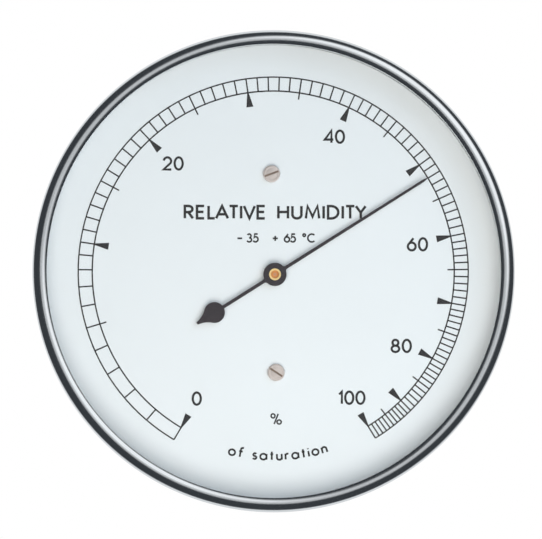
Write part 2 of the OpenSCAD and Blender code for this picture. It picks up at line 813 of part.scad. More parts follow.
module sector_gear() color("gold") in_movement() at(pivot) difference() {
    union() {
        translate([0, 0, sector_z]) linear_extrude(sector_t) {
            sector_rim();
            circle(r = hub_r);
            rim_r = gear_m * sector_teeth / 2 - gear_m * (root_share + shift) - rim_w / 2;
            middle_a = mesh_a + (teeth_to_dry - teeth_to_wet) / 2 * tooth_pitch_a;
            for (s = [-1, 1]) bar_between([0, 0], polar(rim_r, middle_a + s * spoke_a), spoke_w);
        }
        translate([0, 0, sector_z - hub_extra]) cylinder(r = hub_r, h = sector_t + 2 * hub_extra);
    }
    translate([0, 0, sector_z - cut - hub_extra])
        cylinder(r = arbor_r, h = sector_t + 2 * (cut + hub_extra));
}

module sector_arbor() color("silver") in_movement() at(pivot) {
    translate([0, 0, base_z - bearing_proud])
        cylinder(r = pivot_r, h = front_top + 2 * bearing_proud - base_z);
    translate([0, 0, arbor_low]) cylinder(r = arbor_r, h = arbor_high - arbor_low);
}

module hair_lever() color("gold") in_movement() translate([0, 0, lever_z]) difference() {
    linear_extrude(lever_t) {
        bar_between(pivot, hook, lever_w);
        bar_between(pivot, spring_end, lever_w);
        at(pivot) circle(r = hub_r);
        at(hook) circle(r = lever_eye_r);
        at(spring_end) circle(r = lever_eye_r);
    }
    translate([0, 0, -cut]) {
        at(pivot) cylinder(r = arbor_r, h = lever_t + 2 * cut);
        for (p = [hook, spring_end]) at(p) cylinder(r = pin_r, h = lever_t + 2 * cut);
    }
}

// A headed pin that stands on the lever at p and holds something as thick as held_t
module lever_pin(p, held_t) {
    top = hair_z + held_t / 2 + eye_clear;
    at(p, lever_z) cylinder(r = pin_r, h = top - lever_z + lap);
    at(p, top) cylinder(r = pin_head_r, h = pin_head_t);
}

module hook_pin() color("silver") in_movement() lever_pin(hook, eye_t);

module spring_pin() color("silver") in_movement() lever_pin(spring_end, eye_t);

// Hair and its clamps

module lower_hair_clamp() color("silver") in_movement() difference() {
    union() {
        at(hook, hair_z - eye_t / 2) cylinder(r = eye_r, h = eye_t);
        translate([hook[0] - clamp_r, hook[1], hair_z - eye_t / 2])
            cube([2 * clamp_r, clamp_rise, eye_t]);
        translate([hook[0], clamp_low, hair_z]) rotate([-90, 0, 0])
            cylinder(r = clamp_r, h = clamp_l);
    }
    at(hook, hair_z - eye_t) cylinder(r = pin_r + slide_fit, h = 2 * eye_t);
    translate([hook[0], clamp_low + cut / 2, hair_z]) rotate([-90, 0, 0])
        cylinder(r = hair_r, h = clamp_l);
}

module hair_bundle() color("saddlebrown") in_movement()
    translate([hook[0], clamp_low + cut / 2, hair_z]) rotate([-90, 0, 0])
        cylinder(r = hair_r, h = hair_top - clamp_low - cut / 2);

module upper_hair_clamp() color("silver") in_movement()
    translate([slide_x, slide_low + upper_clamp_seat - upper_clamp_l, hair_z])
        rotate([-90, 0, 0]) tube(clamp_r, max(clamp_wall_in, hair_r + 2 * run_fit), upper_clamp_l);

// A coil spring between two pins, as one wire with a loop at each end

// The path of the lower half's end: a loop round a pin at the origin, then up to the coil
function end_loop() = concat(
    [for (a = [240 : 30 : 450]) hook_loop_r * [cos(a), sin(a)]],
    [for (p = end_bend) [-coil_r * p[0], hook_loop_r + (coil_end_gap - hook_loop_r) * p[1]]]
);

function spring_path() =
    let (
        low = end_loop(),
        n = len(low),
        y0 = spring_end[1] + coil_end_gap,
        y1 = spring_post[1] - coil_end_gap,
        steps = coil_turns * coil_ring_steps
    )
    concat(
        [for (p = low) [spring_end[0] + p[0], spring_end[1] + p[1], hair_z]],
        [for (i = [0 : steps]) let (a = 180 + i * 360 / coil_ring_steps)
            [spring_end[0] + coil_r * cos(a), y0 + (y1 - y0) * i / steps, hair_z + coil_r * sin(a)]],
        [for (i = [0 : n - 1]) let (p = low[n - 1 - i])
            [spring_end[0] + p[0], spring_post[1] - p[1], hair_z]]
    );

function unit(v) = v / norm(v);

function carried(tangents, i, n) =
    i >= len(tangents) ? [] :
    let (m = unit(n - (n * tangents[i]) * tangents[i]))
    concat([m], carried(tangents, i + 1, m));

// A closed tube of radius r along the points
module wire(points, r, sides) {
    last = len(points) - 1;
    tangents = [for (i = [0 : last])
        unit(points[min(i + 1, last)] - points[max(i - 1, 0)])];
    normals = carried(tangents, 0, [0, 0, 1]);
    rings = [for (i = [0 : last], k = [0 : sides - 1])
        let (a = 360 * k / sides)
        points[i] + r * (cos(a) * normals[i] + sin(a) * cross(tangents[i], normals[i]))];
    polyhedron(
        points = rings,
        faces = concat(
            [[for (k = [0 : sides - 1]) k]],
            [for (i = [0 : last - 1], k = [0 : sides - 1])
                let (a = i * sides + k, b = i * sides + (k + 1) % sides)
                each [[a, a + sides, b], [b, a + sides, b + sides]]],
            [[for (k = [sides - 1 : -1 : 0]) last * sides + k]]
        )
    );
}

// Least clear distance between parts of the wire that are over a turn's half apart
function least_gap(points, apart, r) = min([
    for (i = [0 : len(points) - 1 - apart], j = [i + apart : len(points) - 1])
        norm(points[i] - points[j])
]) - 2 * r;

module tension_spring() color("silver") in_movement() {
    path = spring_path();
    echo(tension_spring_least_gap = least_gap(path, coil_ring_steps - 1, wire_r));
    wire(path, wire_r, wire_sides);
}

module spring_post() color("silver") in_movement() at(spring_post) {
    low_top = hair_z - eye_t / 2;
    translate([0, 0, base_top]) cylinder(r = post_r, h = low_top - base_top);
    translate([0, 0, low_top - lap]) cylinder(r = pin_r, h = eye_t + eye_clear + 2 * lap);
    translate([0, 0, low_top + eye_t + eye_clear]) cylinder(r = pin_head_r, h = pin_head_t);
}

module stop_pins() color("silver") in_movement()
    for (s = [-1, 1])
        at(pivot + polar(stop_arm, s * (half_swing + stop_margin + stop_lead)), base_top)
            cylinder(r = stop_r, h = lever_z + lever_t + pin_end - base_top);

// Hairspring

module hairspring_collet() color("gold") in_movement()
    at([0, 0], hairspring_z - (collet_h - ribbon_h) / 2) tube(collet_r, arbor_r, collet_h);

function spiral_point(i, side) =
    let (
        steps = hairspring_turns * spiral_steps,
        r = hairspring_in + (hairspring_out - hairspring_in) * i / steps + side * ribbon_t / 2,
        a = hairspring_end_a + (i - steps) * 360 / spiral_steps
    )
    polar(r, a);

module hairspring() color("steelblue") in_movement() translate([0, 0, hairspring_z]) {
    steps = hairspring_turns * spiral_steps;
    linear_extrude(ribbon_h) polygon(concat(
        [for (i = [0 : steps]) spiral_point(i, 1)],
        [for (i = [0 : steps]) spiral_point(steps - i, -1)]
    ));
}

module hairspring_stud() color("silver") in_movement()
    at(polar(hairspring_out, hairspring_end_a), base_top) difference() {
        cylinder(r = stud_r, h = hairspring_z + ribbon_h + pin_end - base_top);
        rotate(hairspring_end_a + 90)
            translate([-stud_r * 4 / 3, -stud_slit / 2, hairspring_z - base_top - slot_clear])
                cube([2 * stud_r, stud_slit, ribbon_h + cut]);
    }

// Zero adjustment

module anchor_bracket() color("darkkhaki") in_movement() translate([slide_x, 0, 0]) difference() {
    outer_w = tunnel_w + 2 * bracket_wall;
    union() {
        translate([-outer_w / 2, tunnel_low, bracket_z])
            cube([outer_w, end_wall_high - tunnel_low, channel_top + bracket_wall - bracket_z]);
        translate([-arm_w / 2, end_wall_high - bracket_foot_l, bracket_z])
            cube([arm_w, bracket_foot_l, bracket_wall]);
    }
    translate([-tunnel_w / 2, tunnel_low - cut, channel_z])
        cube([tunnel_w, end_wall_low - tunnel_low + cut, channel_top - channel_z]);
    translate([0, end_wall_low - cut, hair_z]) rotate([-90, 0, 0])
        cylinder(r = screw_bore, h = end_wall + 2 * cut);
    for (s = [-1, 1])
        translate([s * rivet_x, rivet_y, bracket_z - cut])
            cylinder(r = rivet_r + rivet_fit, h = bracket_wall + 2 * cut);
}

module bracket_rivets() color("silver") in_movement()
    for (s = [-1, 1]) at([slide_x + s * rivet_x, rivet_y]) {
        top = bracket_z + bracket_wall;
        translate([0, 0, base_z - lap]) cylinder(r = rivet_r, h = top - base_z + 2 * lap);
        translate([0, 0, top]) cylinder(r = rivet_head_r, h = rivet_head_t);
        translate([0, 0, base_z - rivet_tail_t]) cylinder(r = rivet_head_r, h = rivet_tail_t);
    }

module anchor_slide() color("gold") in_movement() difference() {
    translate([slide_x - slide_w / 2, slide_low, channel_z + slide_fit])
        cube([slide_w, slide_l, slide_t]);
    translate([slide_x, screw_bore_low, hair_z]) rotate([-90, 0, 0])
        cylinder(r = screw_bore, h = slide_high - screw_bore_low + cut);
    translate([slide_x, slide_low - cut, hair_z]) rotate([-90, 0, 0])
        cylinder(r = clamp_r, h = upper_clamp_seat + cut);
}

module adjusting_screw() color("silver") in_movement() translate([slide_x, 0, hair_z]) {
    translate([0, screw_tip, 0]) rotate([-90, 0, 0])
        cylinder(r = screw_r, h = head_low - screw_tip + lap);
    translate([0, head_low, 0]) rotate([-90, 0, 0]) slotted_head(head_r, head_h, head_slot_a);
}

module screw_clip() color("dimgray") in_movement()
    translate([slide_x, clip_low, hair_z]) rotate([-90, 0, 0]) tube(clip_r, screw_r, clip_t);

case_shell();
bezel_ring();
front_glass();
glass_seal();
vent_gauze();
dial_plate();
dial_markings();
dial_screws();
dial_posts();
base_plate();
front_plate();
plate_pillars();
plate_screws();
rear_bushes();
front_bushes();
base_spacers();
back_screws();
base_nuts();
pointer();
pointer_bush();
pointer_arbor();
pinion();
hairspring_collet();
hairspring();
hairspring_stud();
sector_gear();
sector_arbor();
hair_lever();
hook_pin();
spring_pin();
lower_hair_clamp();
hair_bundle();
upper_hair_clamp();
tension_spring();
spring_post();
stop_pins();
anchor_bracket();
bracket_rivets();
anchor_slide();
adjusting_screw();
screw_clip();
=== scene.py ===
"""Dresses the solids of a round wall hygrometer: a rolled steel bezel and flat glass, a printed
dial with its lettering and screws, a matt black pointer with a brass bush, and the hair and
springs of the movement. Lengths are in metres, the dial faces -Y and +Z is up."""

import math

import bmesh
import bpy
from bpy.props import FloatProperty, FloatVectorProperty, IntProperty, PointerProperty
from mathutils import Matrix, Vector


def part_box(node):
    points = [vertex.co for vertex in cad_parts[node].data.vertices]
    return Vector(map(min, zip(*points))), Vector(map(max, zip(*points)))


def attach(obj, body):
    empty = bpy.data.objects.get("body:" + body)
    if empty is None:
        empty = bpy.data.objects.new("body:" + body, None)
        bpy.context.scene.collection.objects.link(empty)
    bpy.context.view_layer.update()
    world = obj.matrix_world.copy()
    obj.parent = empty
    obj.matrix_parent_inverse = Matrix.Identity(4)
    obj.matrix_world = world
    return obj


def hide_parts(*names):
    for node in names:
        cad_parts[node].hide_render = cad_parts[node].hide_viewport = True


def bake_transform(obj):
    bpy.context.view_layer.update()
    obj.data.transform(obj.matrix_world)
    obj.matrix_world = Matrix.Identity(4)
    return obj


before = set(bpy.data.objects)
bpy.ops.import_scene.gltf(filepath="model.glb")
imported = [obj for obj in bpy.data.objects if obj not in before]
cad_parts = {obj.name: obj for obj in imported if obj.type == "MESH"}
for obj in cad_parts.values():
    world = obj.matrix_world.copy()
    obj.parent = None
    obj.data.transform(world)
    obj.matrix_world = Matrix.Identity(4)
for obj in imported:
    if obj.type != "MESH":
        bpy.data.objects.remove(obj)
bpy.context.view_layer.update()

bl_info = {
    "name": "Hair Hygrometer",
    "version": (1, 0, 0),
    "blender": (4, 5, 0),
    "location": "View3D > Sidebar > Hygrometer",
    "description": "Builds the visible pieces and finishes of a round hair hygrometer",
    "category": "Add Mesh",
}

MM = 0.001
# The movement stands this far off the middle of the case
MOVEMENT = Vector((0.3, 0.0, -0.64)) * MM


def linear(code):
    """An sRGB hex colour as linear red, green and blue."""
    parts = [int(code[i:i + 2], 16) / 255 for i in (1, 3, 5)]
    return tuple(c / 12.92 if c <= 0.04045 else ((c + 0.055) / 1.055) ** 2.4 for c in parts)


def length(name, description, default):
    return FloatProperty(name=name, description=description, default=default * MM,
                         min=0, unit="LENGTH", precision=5)


def angle(name, description, default):
    return FloatProperty(name=name, description=description, default=math.radians(default),
                         subtype="ANGLE")


def colour(name, description, code):
    return FloatVectorProperty(name=name, description=description, default=linear(code),
                               min=0, max=1, subtype="COLOR")


class HygroBezelSizes(bpy.types.PropertyGroup):
    outer_radius: length("Outer Radius", "Radius of the bezel's outer side", 51.5)
    opening_radius: length("Opening Radius", "Radius of the bezel's inner edge", 48.45)
    neck_radius: length("Neck Radius", "Inner radius of the skirt over the neck", 49.35)
    shoulder: length("Shoulder", "Height of the skirt's end above the back", 23)
    seat: length("Seat", "Height of the glass's front above the back", 30.6)
    crown: length("Crown", "Height of the crown above the back", 32.99)
    inner_bend: length("Inner Bend", "Radius of the bend from the crown to the opening", 2.0)
    crown_radius: length("Crown Radius", "Radius at which the bezel stands highest", 49.6)
    segments: IntProperty(name="Segments", description="Faces round the bezel", default=256,
                          min=48)


class HygroDialSizes(bpy.types.PropertyGroup):
    face: length("Face", "Height of the dial's face above the back", 26)
    ink: length("Ink", "Thickness of the printed ink", 0.05)
    numeral: length("Numeral Height", "Height of the numerals", 3.1)
    screw_spread: length("Screw Spread", "Distance of each dial screw from the arbor", 21.3)
    screw_lean: angle("Screw Lean", "Lean of the line through the dial screws", 1.3)
    screws_left: length("Screws To The Left", "Of the arbor: the middle of the screws", 0.2)
    screws_up: length("Screws Up", "Above the arbor: the middle of the screws", 0.34)
    head_radius: length("Head Radius", "Radius of the dial screws' heads", 1.85)
    head_height: length("Head Height", "Height of the dial screws' heads", 0.9)
    slot_width: length("Slot Width", "Width of the driver slots", 0.42)
    lower_turn: angle("Lower Slot", "Direction of the lower screw's slot", 147)
    upper_turn: angle("Upper Slot", "Direction of the upper screw's slot", 20)


class HygroPointerSizes(bpy.types.PropertyGroup):
    direction: angle("Direction", "Direction of the pointer, anticlockwise from the right", 32.3)
    reach: length("Reach", "Length from the arbor to the tip", 38.8)
    root_width: length("Root Width", "Width of the rod at the boss", 0.73)
    tip_width: length("Tip Width", "Width of the rod near its tip", 0.56)
    boss_radius: length("Boss Radius", "Radius of the black boss", 2.49)
    tail: length("Tail", "Distance of the tail's disc behind the arbor", 15.3)
    tail_radius: length("Tail Radius", "Radius of the tail's disc", 2.23)
    flare: length("Flare", "Length of the flare from the disc's middle to its end", 4.4)
    bush_radius: length("Bush Radius", "Radius of the brass bush", 1.28)


class HygroMovementSizes(bpy.types.PropertyGroup):
    strands: IntProperty(name="Hairs", description="Hairs drawn in the bundle", default=46, min=3)
    strand_radius: length("Hair Radius", "Radius of a drawn hair", 0.05)
    wire_radius: length("Wire Radius", "Radius of the tension spring's wire", 0.2)
    coil_radius: length("Coil Radius", "Mean radius of the tension spring", 1.25)
    coil_turns: IntProperty(name="Turns", description="Turns of the tension spring", default=14)


class HygroStageSizes(bpy.types.PropertyGroup):
    distance: FloatProperty(name="Distance", description="From the camera to the bezel",
                            default=1.1, min=0.3, unit="LENGTH")
    to_the_left: angle("To The Left", "How far the camera stands to the left", 1.3)
    below: angle("Below", "How far the camera stands below", 2.4)
    frame_width: FloatProperty(name="Frame Width", description="Width seen at the bezel",
                               default=0.1159, unit="LENGTH")
    key: FloatProperty(name="Key", description="Power of the large soft lamp at the upper right",
                       default=1.15, min=0, unit="POWER")
    fill: FloatProperty(name="Fill", description="Power of the soft lamp below",
                        default=0.81, min=0, unit="POWER")
    back: FloatProperty(name="Back", description="Power of the large soft lamp behind",
                        default=9.0, min=0, unit="POWER")
    room: FloatProperty(name="Room", description="Even light from the room", default=0.05, min=0)


class HygroColours(bpy.types.PropertyGroup):
    steel: colour("Case Steel", "Brushed stainless steel of the case", "#C6CACD")
    bezel: colour("Bezel Steel", "Buffed steel of the bezel", "#EEF3F7")
    lacquer: colour("Dial Lacquer", "Bluish white of the dial", "#E0E8EE")
    ink: colour("Ink", "Printed marks", "#101014")
    nickel: colour("Nickel", "Plated dial screws", "#DDD2CE")
    brass: colour("Brass", "Rolled and turned brass", "#C79F58")
    black: colour("Pointer Black", "Matt lacquer of the pointer", "#1F181F")
    blued: colour("Blued Steel", "Heat-blued hairspring", "#1D2C5E")
    hair: colour("Hair", "Combed and degreased hair", "#7A5230")


def add(tree, kind, **given):
    """Adds a node. A name in small letters is a setting of the node. Any other is an input, with _
    for a space, and _0, _1 pick an input by number. An input is a value, a socket, or a node that
    gives its first output."""
    made = tree.nodes.new(kind)
    for name, value in given.items():
        if name.islower():
            setattr(made, name, value)
            continue
        socket = made.inputs[int(name[1:]) if name[0] == "_" else name.replace("_", " ")]
        if isinstance(value, bpy.types.Node):
            value = value.outputs[0]
        if isinstance(value, bpy.types.NodeSocket):
            tree.links.new(value, socket)
        else:
            socket.default_value = value
    return made


# Materials


def new_material(name):
    """A new material and its empty tree."""
    made = bpy.data.materials.new(name)
    made.use_nodes = True
    made.node_tree.nodes.clear()
    return made, made.node_tree


def place(tree):
    """Object coordinates in millimetres."""
    at = add(tree, "ShaderNodeTexCoord").outputs["Object"]
    return add(tree, "ShaderNodeVectorMath", operation="SCALE", _0=at, Scale=1 / MM)


def turned(tree, at):
    """Radius from the Y axis and depth, so that a pattern runs round the axis."""
    parts = add(tree, "ShaderNodeSeparateXYZ", _0=at).outputs
    flat = add(tree, "ShaderNodeCombineXYZ", X=parts["X"], Y=parts["Z"])
    radius = add(tree, "ShaderNodeVectorMath", operation="LENGTH", _0=flat).outputs["Value"]
    return add(tree, "ShaderNodeCombineXYZ", X=radius, Y=parts["Y"])


def shade(base, factor):
    """A colour made darker or lighter by a factor."""
    return tuple(min(1, c * factor) for c in base)


def finish(name, low, high, rough, grain, relief, metallic=0.0, specular=0.5, at=place,
           tint=(0.09, 1.0), drift=None):
    """A finish whose colour drifts from low to high while a grain of so many marks to a
    millimetre moves its roughness between two values and gives it relief, a strength and a depth
    in millimetres. The drift is a noise, tint its marks to a millimetre and its detail, or else
    the pattern that drift draws."""
    made, tree = new_material(name)
    if drift:
        share = drift(tree)
    else:
        share = add(tree, "ShaderNodeTexNoise", Vector=place(tree), Scale=tint[0], Detail=tint[1])
    marks = add(tree, "ShaderNodeTexNoise", Vector=at(tree), Scale=grain, Detail=2.0)
    mixed = add(tree, "ShaderNodeMix", data_type="RGBA", Factor=share, _6=(*low, 1),
                _7=(*high, 1))
    bump = add(tree, "ShaderNodeBump", Height=marks, Strength=relief[0], Distance=relief[1] * MM)
    dull = rough[0]
    if rough[0] != rough[1]:
        # Most of the noise lies between these two values
        dull = add(tree, "ShaderNodeMapRange", Value=marks, _1=0.3, _2=0.7, _3=rough[0],
                   _4=rough[1])
    shader = add(tree, "ShaderNodeBsdfPrincipled", Base_Color=mixed.outputs[2], Roughness=dull,
                 Metallic=metallic, Specular_IOR_Level=specular, Normal=bump)
    add(tree, "ShaderNodeOutputMaterial", Surface=shader)
    return made


# Strength of the relief of tool marks
MARKS = 0.25


def metal(name, base, rough, grain, depth_mm, **more):
    """A metal with shallow tool marks, slightly lighter and darker by turns."""
    return finish(name, shade(base, 0.93), shade(base, 1.05), rough, grain, (MARKS, depth_mm),
                  metallic=1.0, **more)


def round_the_case(tree):
    return turned(tree, place(tree))


def polished_bezel_steel(base):
    # Turned and buffed: clear reflections, with fine rings left by the lathe
    return metal("buffed_turned_steel", base, (0.14, 0.2), 2.2, 0.001, at=round_the_case)


def brushed_case_steel(base):
    # Stainless steel, brushed round the case: highlights drawn out across the lines
    return metal("brushed_stainless_steel", base, (0.34, 0.48), 3.0, 0.004, at=round_the_case)


def up_the_plates(tree):
    # Marks drawn out to 25 times their width
    return add(tree, "ShaderNodeMapping", Vector=place(tree), Scale=(1, 1, 0.04))


def rolled_brass(base):
    # Rolled sheet with straight graining, lacquered: lines run up the plates
    return metal("grained_rolled_brass", base, (0.22, 0.38), 4.0, 0.004, at=up_the_plates)


def turned_brass(base):
    # Bright turned brass, a little lighter than the plates
    return metal("turned_brass", shade(base, 1.12), (0.15, 0.25), 5.0, 0.003)


def round_the_arbor(tree):
    at = add(tree, "ShaderNodeMapping", Vector=place(tree), Location=tuple(-MOVEMENT / MM))
    return turned(tree, at)


def rim_highlight_dish_shade(tree):
    # Painted highlight on the rim and painted shade in the dish, by radius. In millimetres: the dish
    # ends at the first radius and the rim begins at the second
    radius = add(tree, "ShaderNodeSeparateXYZ", _0=round_the_arbor(tree)).outputs["X"]
    return add(tree, "ShaderNodeMapRange", Value=radius, _1=0.78, _2=0.92)


def bush_brass():
    # Brass under old lacquer, which scatters part of the light. Its colour is painted by radius: a
    # painted highlight makes the rim bright yellow, and painted shade makes the dish orange
    return finish("lacquered_bush_brass", linear("#D98F44"), linear("#FFDF98"), (0.3, 0.4), 7.0,
                  (MARKS, 0.004), metallic=0.45, at=round_the_arbor, drift=rim_highlight_dish_shade)


def arbor_painted_reflection():
    # The end of the pointer's arbor, dull, painted warm: a painted reflection of the brass round it
    return finish("oiled_arbor_steel", linear("#C88E68"), linear("#D9A27C"), (0.4, 0.5), 6.0,
                  (MARKS, 0.004), metallic=0.45)


def turned_steel(base):
    # Satin turned steel of pins and nuts
    return metal("turned_machine_steel", shade(base, 0.9), (0.22, 0.34), 5.0, 0.003)


def round_each_screw(tree):
    at = add(tree, "ShaderNodeAttribute", attribute_name="turned_at").outputs["Vector"]
    return turned(tree, add(tree, "ShaderNodeVectorMath", operation="SCALE", _0=at,
                            Scale=1 / MM))


def slot_painted_shade(tree):
    # Painted shade in the driver slot: the head darkens where it sinks into the slot. In
    # millimetres: depths run to -0.9 at the top of the head, and the slot ends at its side
    parts = add(tree, "ShaderNodeSeparateXYZ", _0=round_each_screw(tree)).outputs
    sunk = add(tree, "ShaderNodeMapRange", Value=parts["Y"], _1=-0.75, _2=-0.5)
    within = add(tree, "ShaderNodeMapRange", Value=parts["X"], _1=1.6, _2=1.5)
    return add(tree, "ShaderNodeMath", operation="MULTIPLY", _0=sunk, _1=within)


def screw_nickel(base):
    # Dulled nickel plate over turned brass, which scatters part of the light: warm grey, fine
    # rings round each head, and painted shade darkening the slot
    return finish("dulled_nickel_plate", base, linear("#9A8678"), (0.34, 0.46), 7.0,
                  (MARKS, 0.006), metallic=0.6, at=round_each_screw, drift=slot_painted_shade)


def plated_steel(base):
    # The same plate on the screws at the back
    return metal("nickel_plate_back", base, (0.21, 0.31), 5.0, 0.004)


def spring_steel(base):
    # Drawn wire: fine scratches along it
    return metal("drawn_spring_wire", shade(base, 0.85), (0.19, 0.31), 6.0, 0.003)


def blued_steel(base):
    # Heat-blued ribbon: deep blue that drifts a little towards violet
    return finish("heat_blued_steel", base, linear("#35245E"), (0.18, 0.26), 3.0,
                  (MARKS, 0.002), metallic=1.0, tint=(0.5, 0.0))


def clear_glass():
    # Flat window glass, faintly green at its edge. Shadow rays pass, so the dial stays lit
    made, tree = new_material("clear_window_glass")
    glass = add(tree, "ShaderNodeBsdfPrincipled", Base_Color=(*linear("#FCFEFD"), 1),
                Roughness=0.0, IOR=1.5, Transmission_Weight=1)
    path = add(tree, "ShaderNodeLightPath").outputs
    either = add(tree, "ShaderNodeMath", operation="MAXIMUM", _0=path["Is Shadow Ray"],
                 _1=path["Is Diffuse Ray"])
    mixed = add(tree, "ShaderNodeMixShader", _0=either, _1=glass,
                _2=add(tree, "ShaderNodeBsdfTransparent"))
    add(tree, "ShaderNodeOutputMaterial", Surface=mixed)
    return made


def seal_rubber():
    # Moulded black rubber, dull, with a fine grain
    return finish("black_seal_rubber", linear("#101010"), linear("#1C1C1D"), (0.75, 0.75), 6.0,
                  (0.4, 0.02), tint=(0.6, 2.0))


def woven_bronze():
    # Wire gauze: 0.5 mm wires at a pitch of 1 mm, drawn coarser than the real cloth to show
    made, tree = new_material("woven_bronze_gauze")
    parts = add(tree, "ShaderNodeSeparateXYZ", _0=place(tree)).outputs
    turns = [add(tree, "ShaderNodeMath", operation="MULTIPLY", _0=parts[axis], _1=math.tau)
             for axis in ("X", "Z")]
    waves = [add(tree, "ShaderNodeMath", operation="SINE", _0=turn) for turn in turns]
    top = add(tree, "ShaderNodeMath", operation="MAXIMUM", _0=waves[0], _1=waves[1])
    wire = add(tree, "ShaderNodeMapRange", Value=top, _1=-0.1, _2=0.3)
    # The gaps between the wires are painted near black: painted shade of the dark inside seen
    # through them
    mixed = add(tree, "ShaderNodeMix", data_type="RGBA", Factor=wire,
                _6=(*linear("#17120C"), 1), _7=(*linear("#94713F"), 1))
    bump = add(tree, "ShaderNodeBump", Height=top, Strength=0.6, Distance=0.25 * MM)
    shader = add(tree, "ShaderNodeBsdfPrincipled", Base_Color=mixed.outputs[2], Metallic=wire,
                 Roughness=0.42, Normal=bump)
    add(tree, "ShaderNodeOutputMaterial", Surface=shader)
    return made


def dial_lacquer(base):
    # Sprayed satin lacquer on aluminium: bluish white with a faint orange peel
    return finish("satin_dial_lacquer", shade(base, 0.985), shade(base, 1.015), (0.42, 0.5), 1.4,
                  (0.12, 0.01), specular=0.35, tint=(0.05, 3.0))


def printing_ink(base):
    # Screen-printed ink: soft black, slightly uneven in cover
    return finish("screen_printed_ink", shade(base, 0.8), shade(base, 1.5), (0.55, 0.55), 8.0,
                  (0.2, 0.01), specular=0.3, tint=(3.0, 4.0))


def pointer_lacquer(base):
    # Matt black baked lacquer with a fine powdery grain
    return finish("matt_black_lacquer", shade(base, 0.8), shade(base, 1.4), (0.6, 0.75), 6.0,
                  (0.25, 0.01), specular=0.3, tint=(2.0, 4.0))


def along_the_hair(tree):
    return add(tree, "ShaderNodeMapping", Vector=place(tree), Scale=(6, 6, 0.8))


def each_hair(tree):
    return add(tree, "ShaderNodeAttribute", attribute_name="hair_shade").outputs["Fac"]


def combed_hair(base):
    # Degreased hair: light brown, each hair its own shade, with a soft sheen along it
    return finish("combed_hair", shade(base, 0.55), shade(base, 1.3), (0.42, 0.42), 2.0,
                  (0.3, 0.02), specular=0.6, at=along_the_hair, drift=each_hair)


# Geometry Nodes


def new_tree(name, sizes):
    """A tree with a geometry input, the named inputs, a material and a geometry output."""
    tree = bpy.data.node_groups.new(name, "GeometryNodeTree")
    tree.interface.new_socket(name="Geometry", in_out="INPUT", socket_type="NodeSocketGeometry")
    for label, kind in sizes.items():
        tree.interface.new_socket(name=label, in_out="INPUT", socket_type="NodeSocket" + kind)
    tree.interface.new_socket(name="Finish", in_out="INPUT", socket_type="NodeSocketMaterial")
    tree.interface.new_socket(name="Geometry", in_out="OUTPUT", socket_type="NodeSocketGeometry")
    return tree, add(tree, "NodeGroupInput").outputs


def close_tree(tree, given, shape):
    """Ends a tree in real geometry with its finish."""
    real = add(tree, "GeometryNodeRealizeInstances", Geometry=shape)
    done = add(tree, "GeometryNodeSetMaterial", Geometry=real, Material=given["Finish"])
    add(tree, "NodeGroupOutput", _0=done)
    return tree


def in_scene(name, data):
    """A new object that holds the data, in the scene."""
    made = bpy.data.objects.new(name, data)
    bpy.context.scene.collection.objects.link(made)
    return made


def as_mesh(draft):
    """The plain mesh that a draft's modifiers make of it. The draft itself goes."""
    bpy.context.view_layer.update()
    made = bpy.data.meshes.new_from_object(
        draft.evaluated_get(bpy.context.evaluated_depsgraph_get()))
    drawn = draft.data
    bpy.data.objects.remove(draft)
    bpy.data.meshes.remove(drawn)
    return made


def grown(name, tree, points, values, finish, closed=False):
    """Runs a tree over a row of linked points and returns the result as a plain mesh object."""
    links = [(i, i + 1) for i in range(len(points) - 1)] + [(len(points) - 1, 0)] * closed
    seed = bpy.data.meshes.new(name + "_line")
    seed.from_pydata(points, links, [])
    carrier = in_scene(name + "_line", seed)
    modifier = carrier.modifiers.new("Shape", "NODES")
    modifier.node_group = tree
    values = {**values, "Finish": finish}
    for item in tree.interface.items_tree:
        if item.in_out == "INPUT" and item.name in values:
            modifier[item.identifier] = values[item.name]
    carrier.update_tag()
    return shown(name, as_mesh(carrier), finish)


# Points nearer to each other than this become one, and edges sharper than this stay sharp
MERGED = 1e-7
SHARP = math.radians(35)


def shown(name, mesh, finish):
    """Puts a mesh in the scene with outward faces, smooth shading and its finish."""
    mesh.name = name
    work = bmesh.new()
    work.from_mesh(mesh)
    bmesh.ops.remove_doubles(work, verts=work.verts, dist=MERGED)
    bmesh.ops.recalc_face_normals(work, faces=work.faces)
    work.to_mesh(mesh)
    work.free()
    if not mesh.materials:
        mesh.materials.append(finish)
    mesh.polygons.foreach_set("use_smooth", [True] * len(mesh.polygons))
    mesh.set_sharp_from_angle(angle=SHARP)
    mesh.update()
    return in_scene(name, mesh)


def turned_body(tree, given):
    """The outline, drawn as radius and height, taken round an axis along Z."""
    outline = add(tree, "GeometryNodeMeshToCurve", Mesh=given["Geometry"])
    path = add(tree, "GeometryNodeCurvePrimitiveCircle", Resolution=given["Segments"],
               Radius=given["Path Radius"])
    body = add(tree, "GeometryNodeCurveToMesh", Curve=path, Profile_Curve=outline)
    return add(tree, "GeometryNodeMergeByDistance", Geometry=body, Distance=MERGED)


def turning_tree():
    """Turns an outline and sets the piece at its place, facing the front."""
    tree, given = new_tree("Turned Piece", {"Segments": "Int", "Path Radius": "Float",
                                            "Place": "Vector"})
    facing = add(tree, "GeometryNodeTransform", Geometry=turned_body(tree, given),
                 Translation=given["Place"], Rotation=(math.pi / 2, 0, 0))
    return close_tree(tree, given, facing)


# Radius of the circle that carries an outline round; the outline is drawn from this radius
PATH_RADIUS = 0.01
# Faces round the boss, the bush and the screws
SMALL_ROUND = 96


def turned_outline(outline):
    """The points of an outline of (radius, height) for a turning tree, and whether it is closed:
    it is open only where both its ends lie on the axis."""
    points = [(r - PATH_RADIUS, -h, 0) for r, h in outline]
    return points, bool(outline[0][0] or outline[-1][0])


def arc(cx, cy, rx, ry, first, last, steps):
    """Points along an arc of an ellipse between two angles in degrees."""
    span = [math.radians(first + (last - first) * i / steps) for i in range(steps + 1)]
    return [(cx + rx * math.cos(a), cy + ry * math.sin(a)) for a in span]


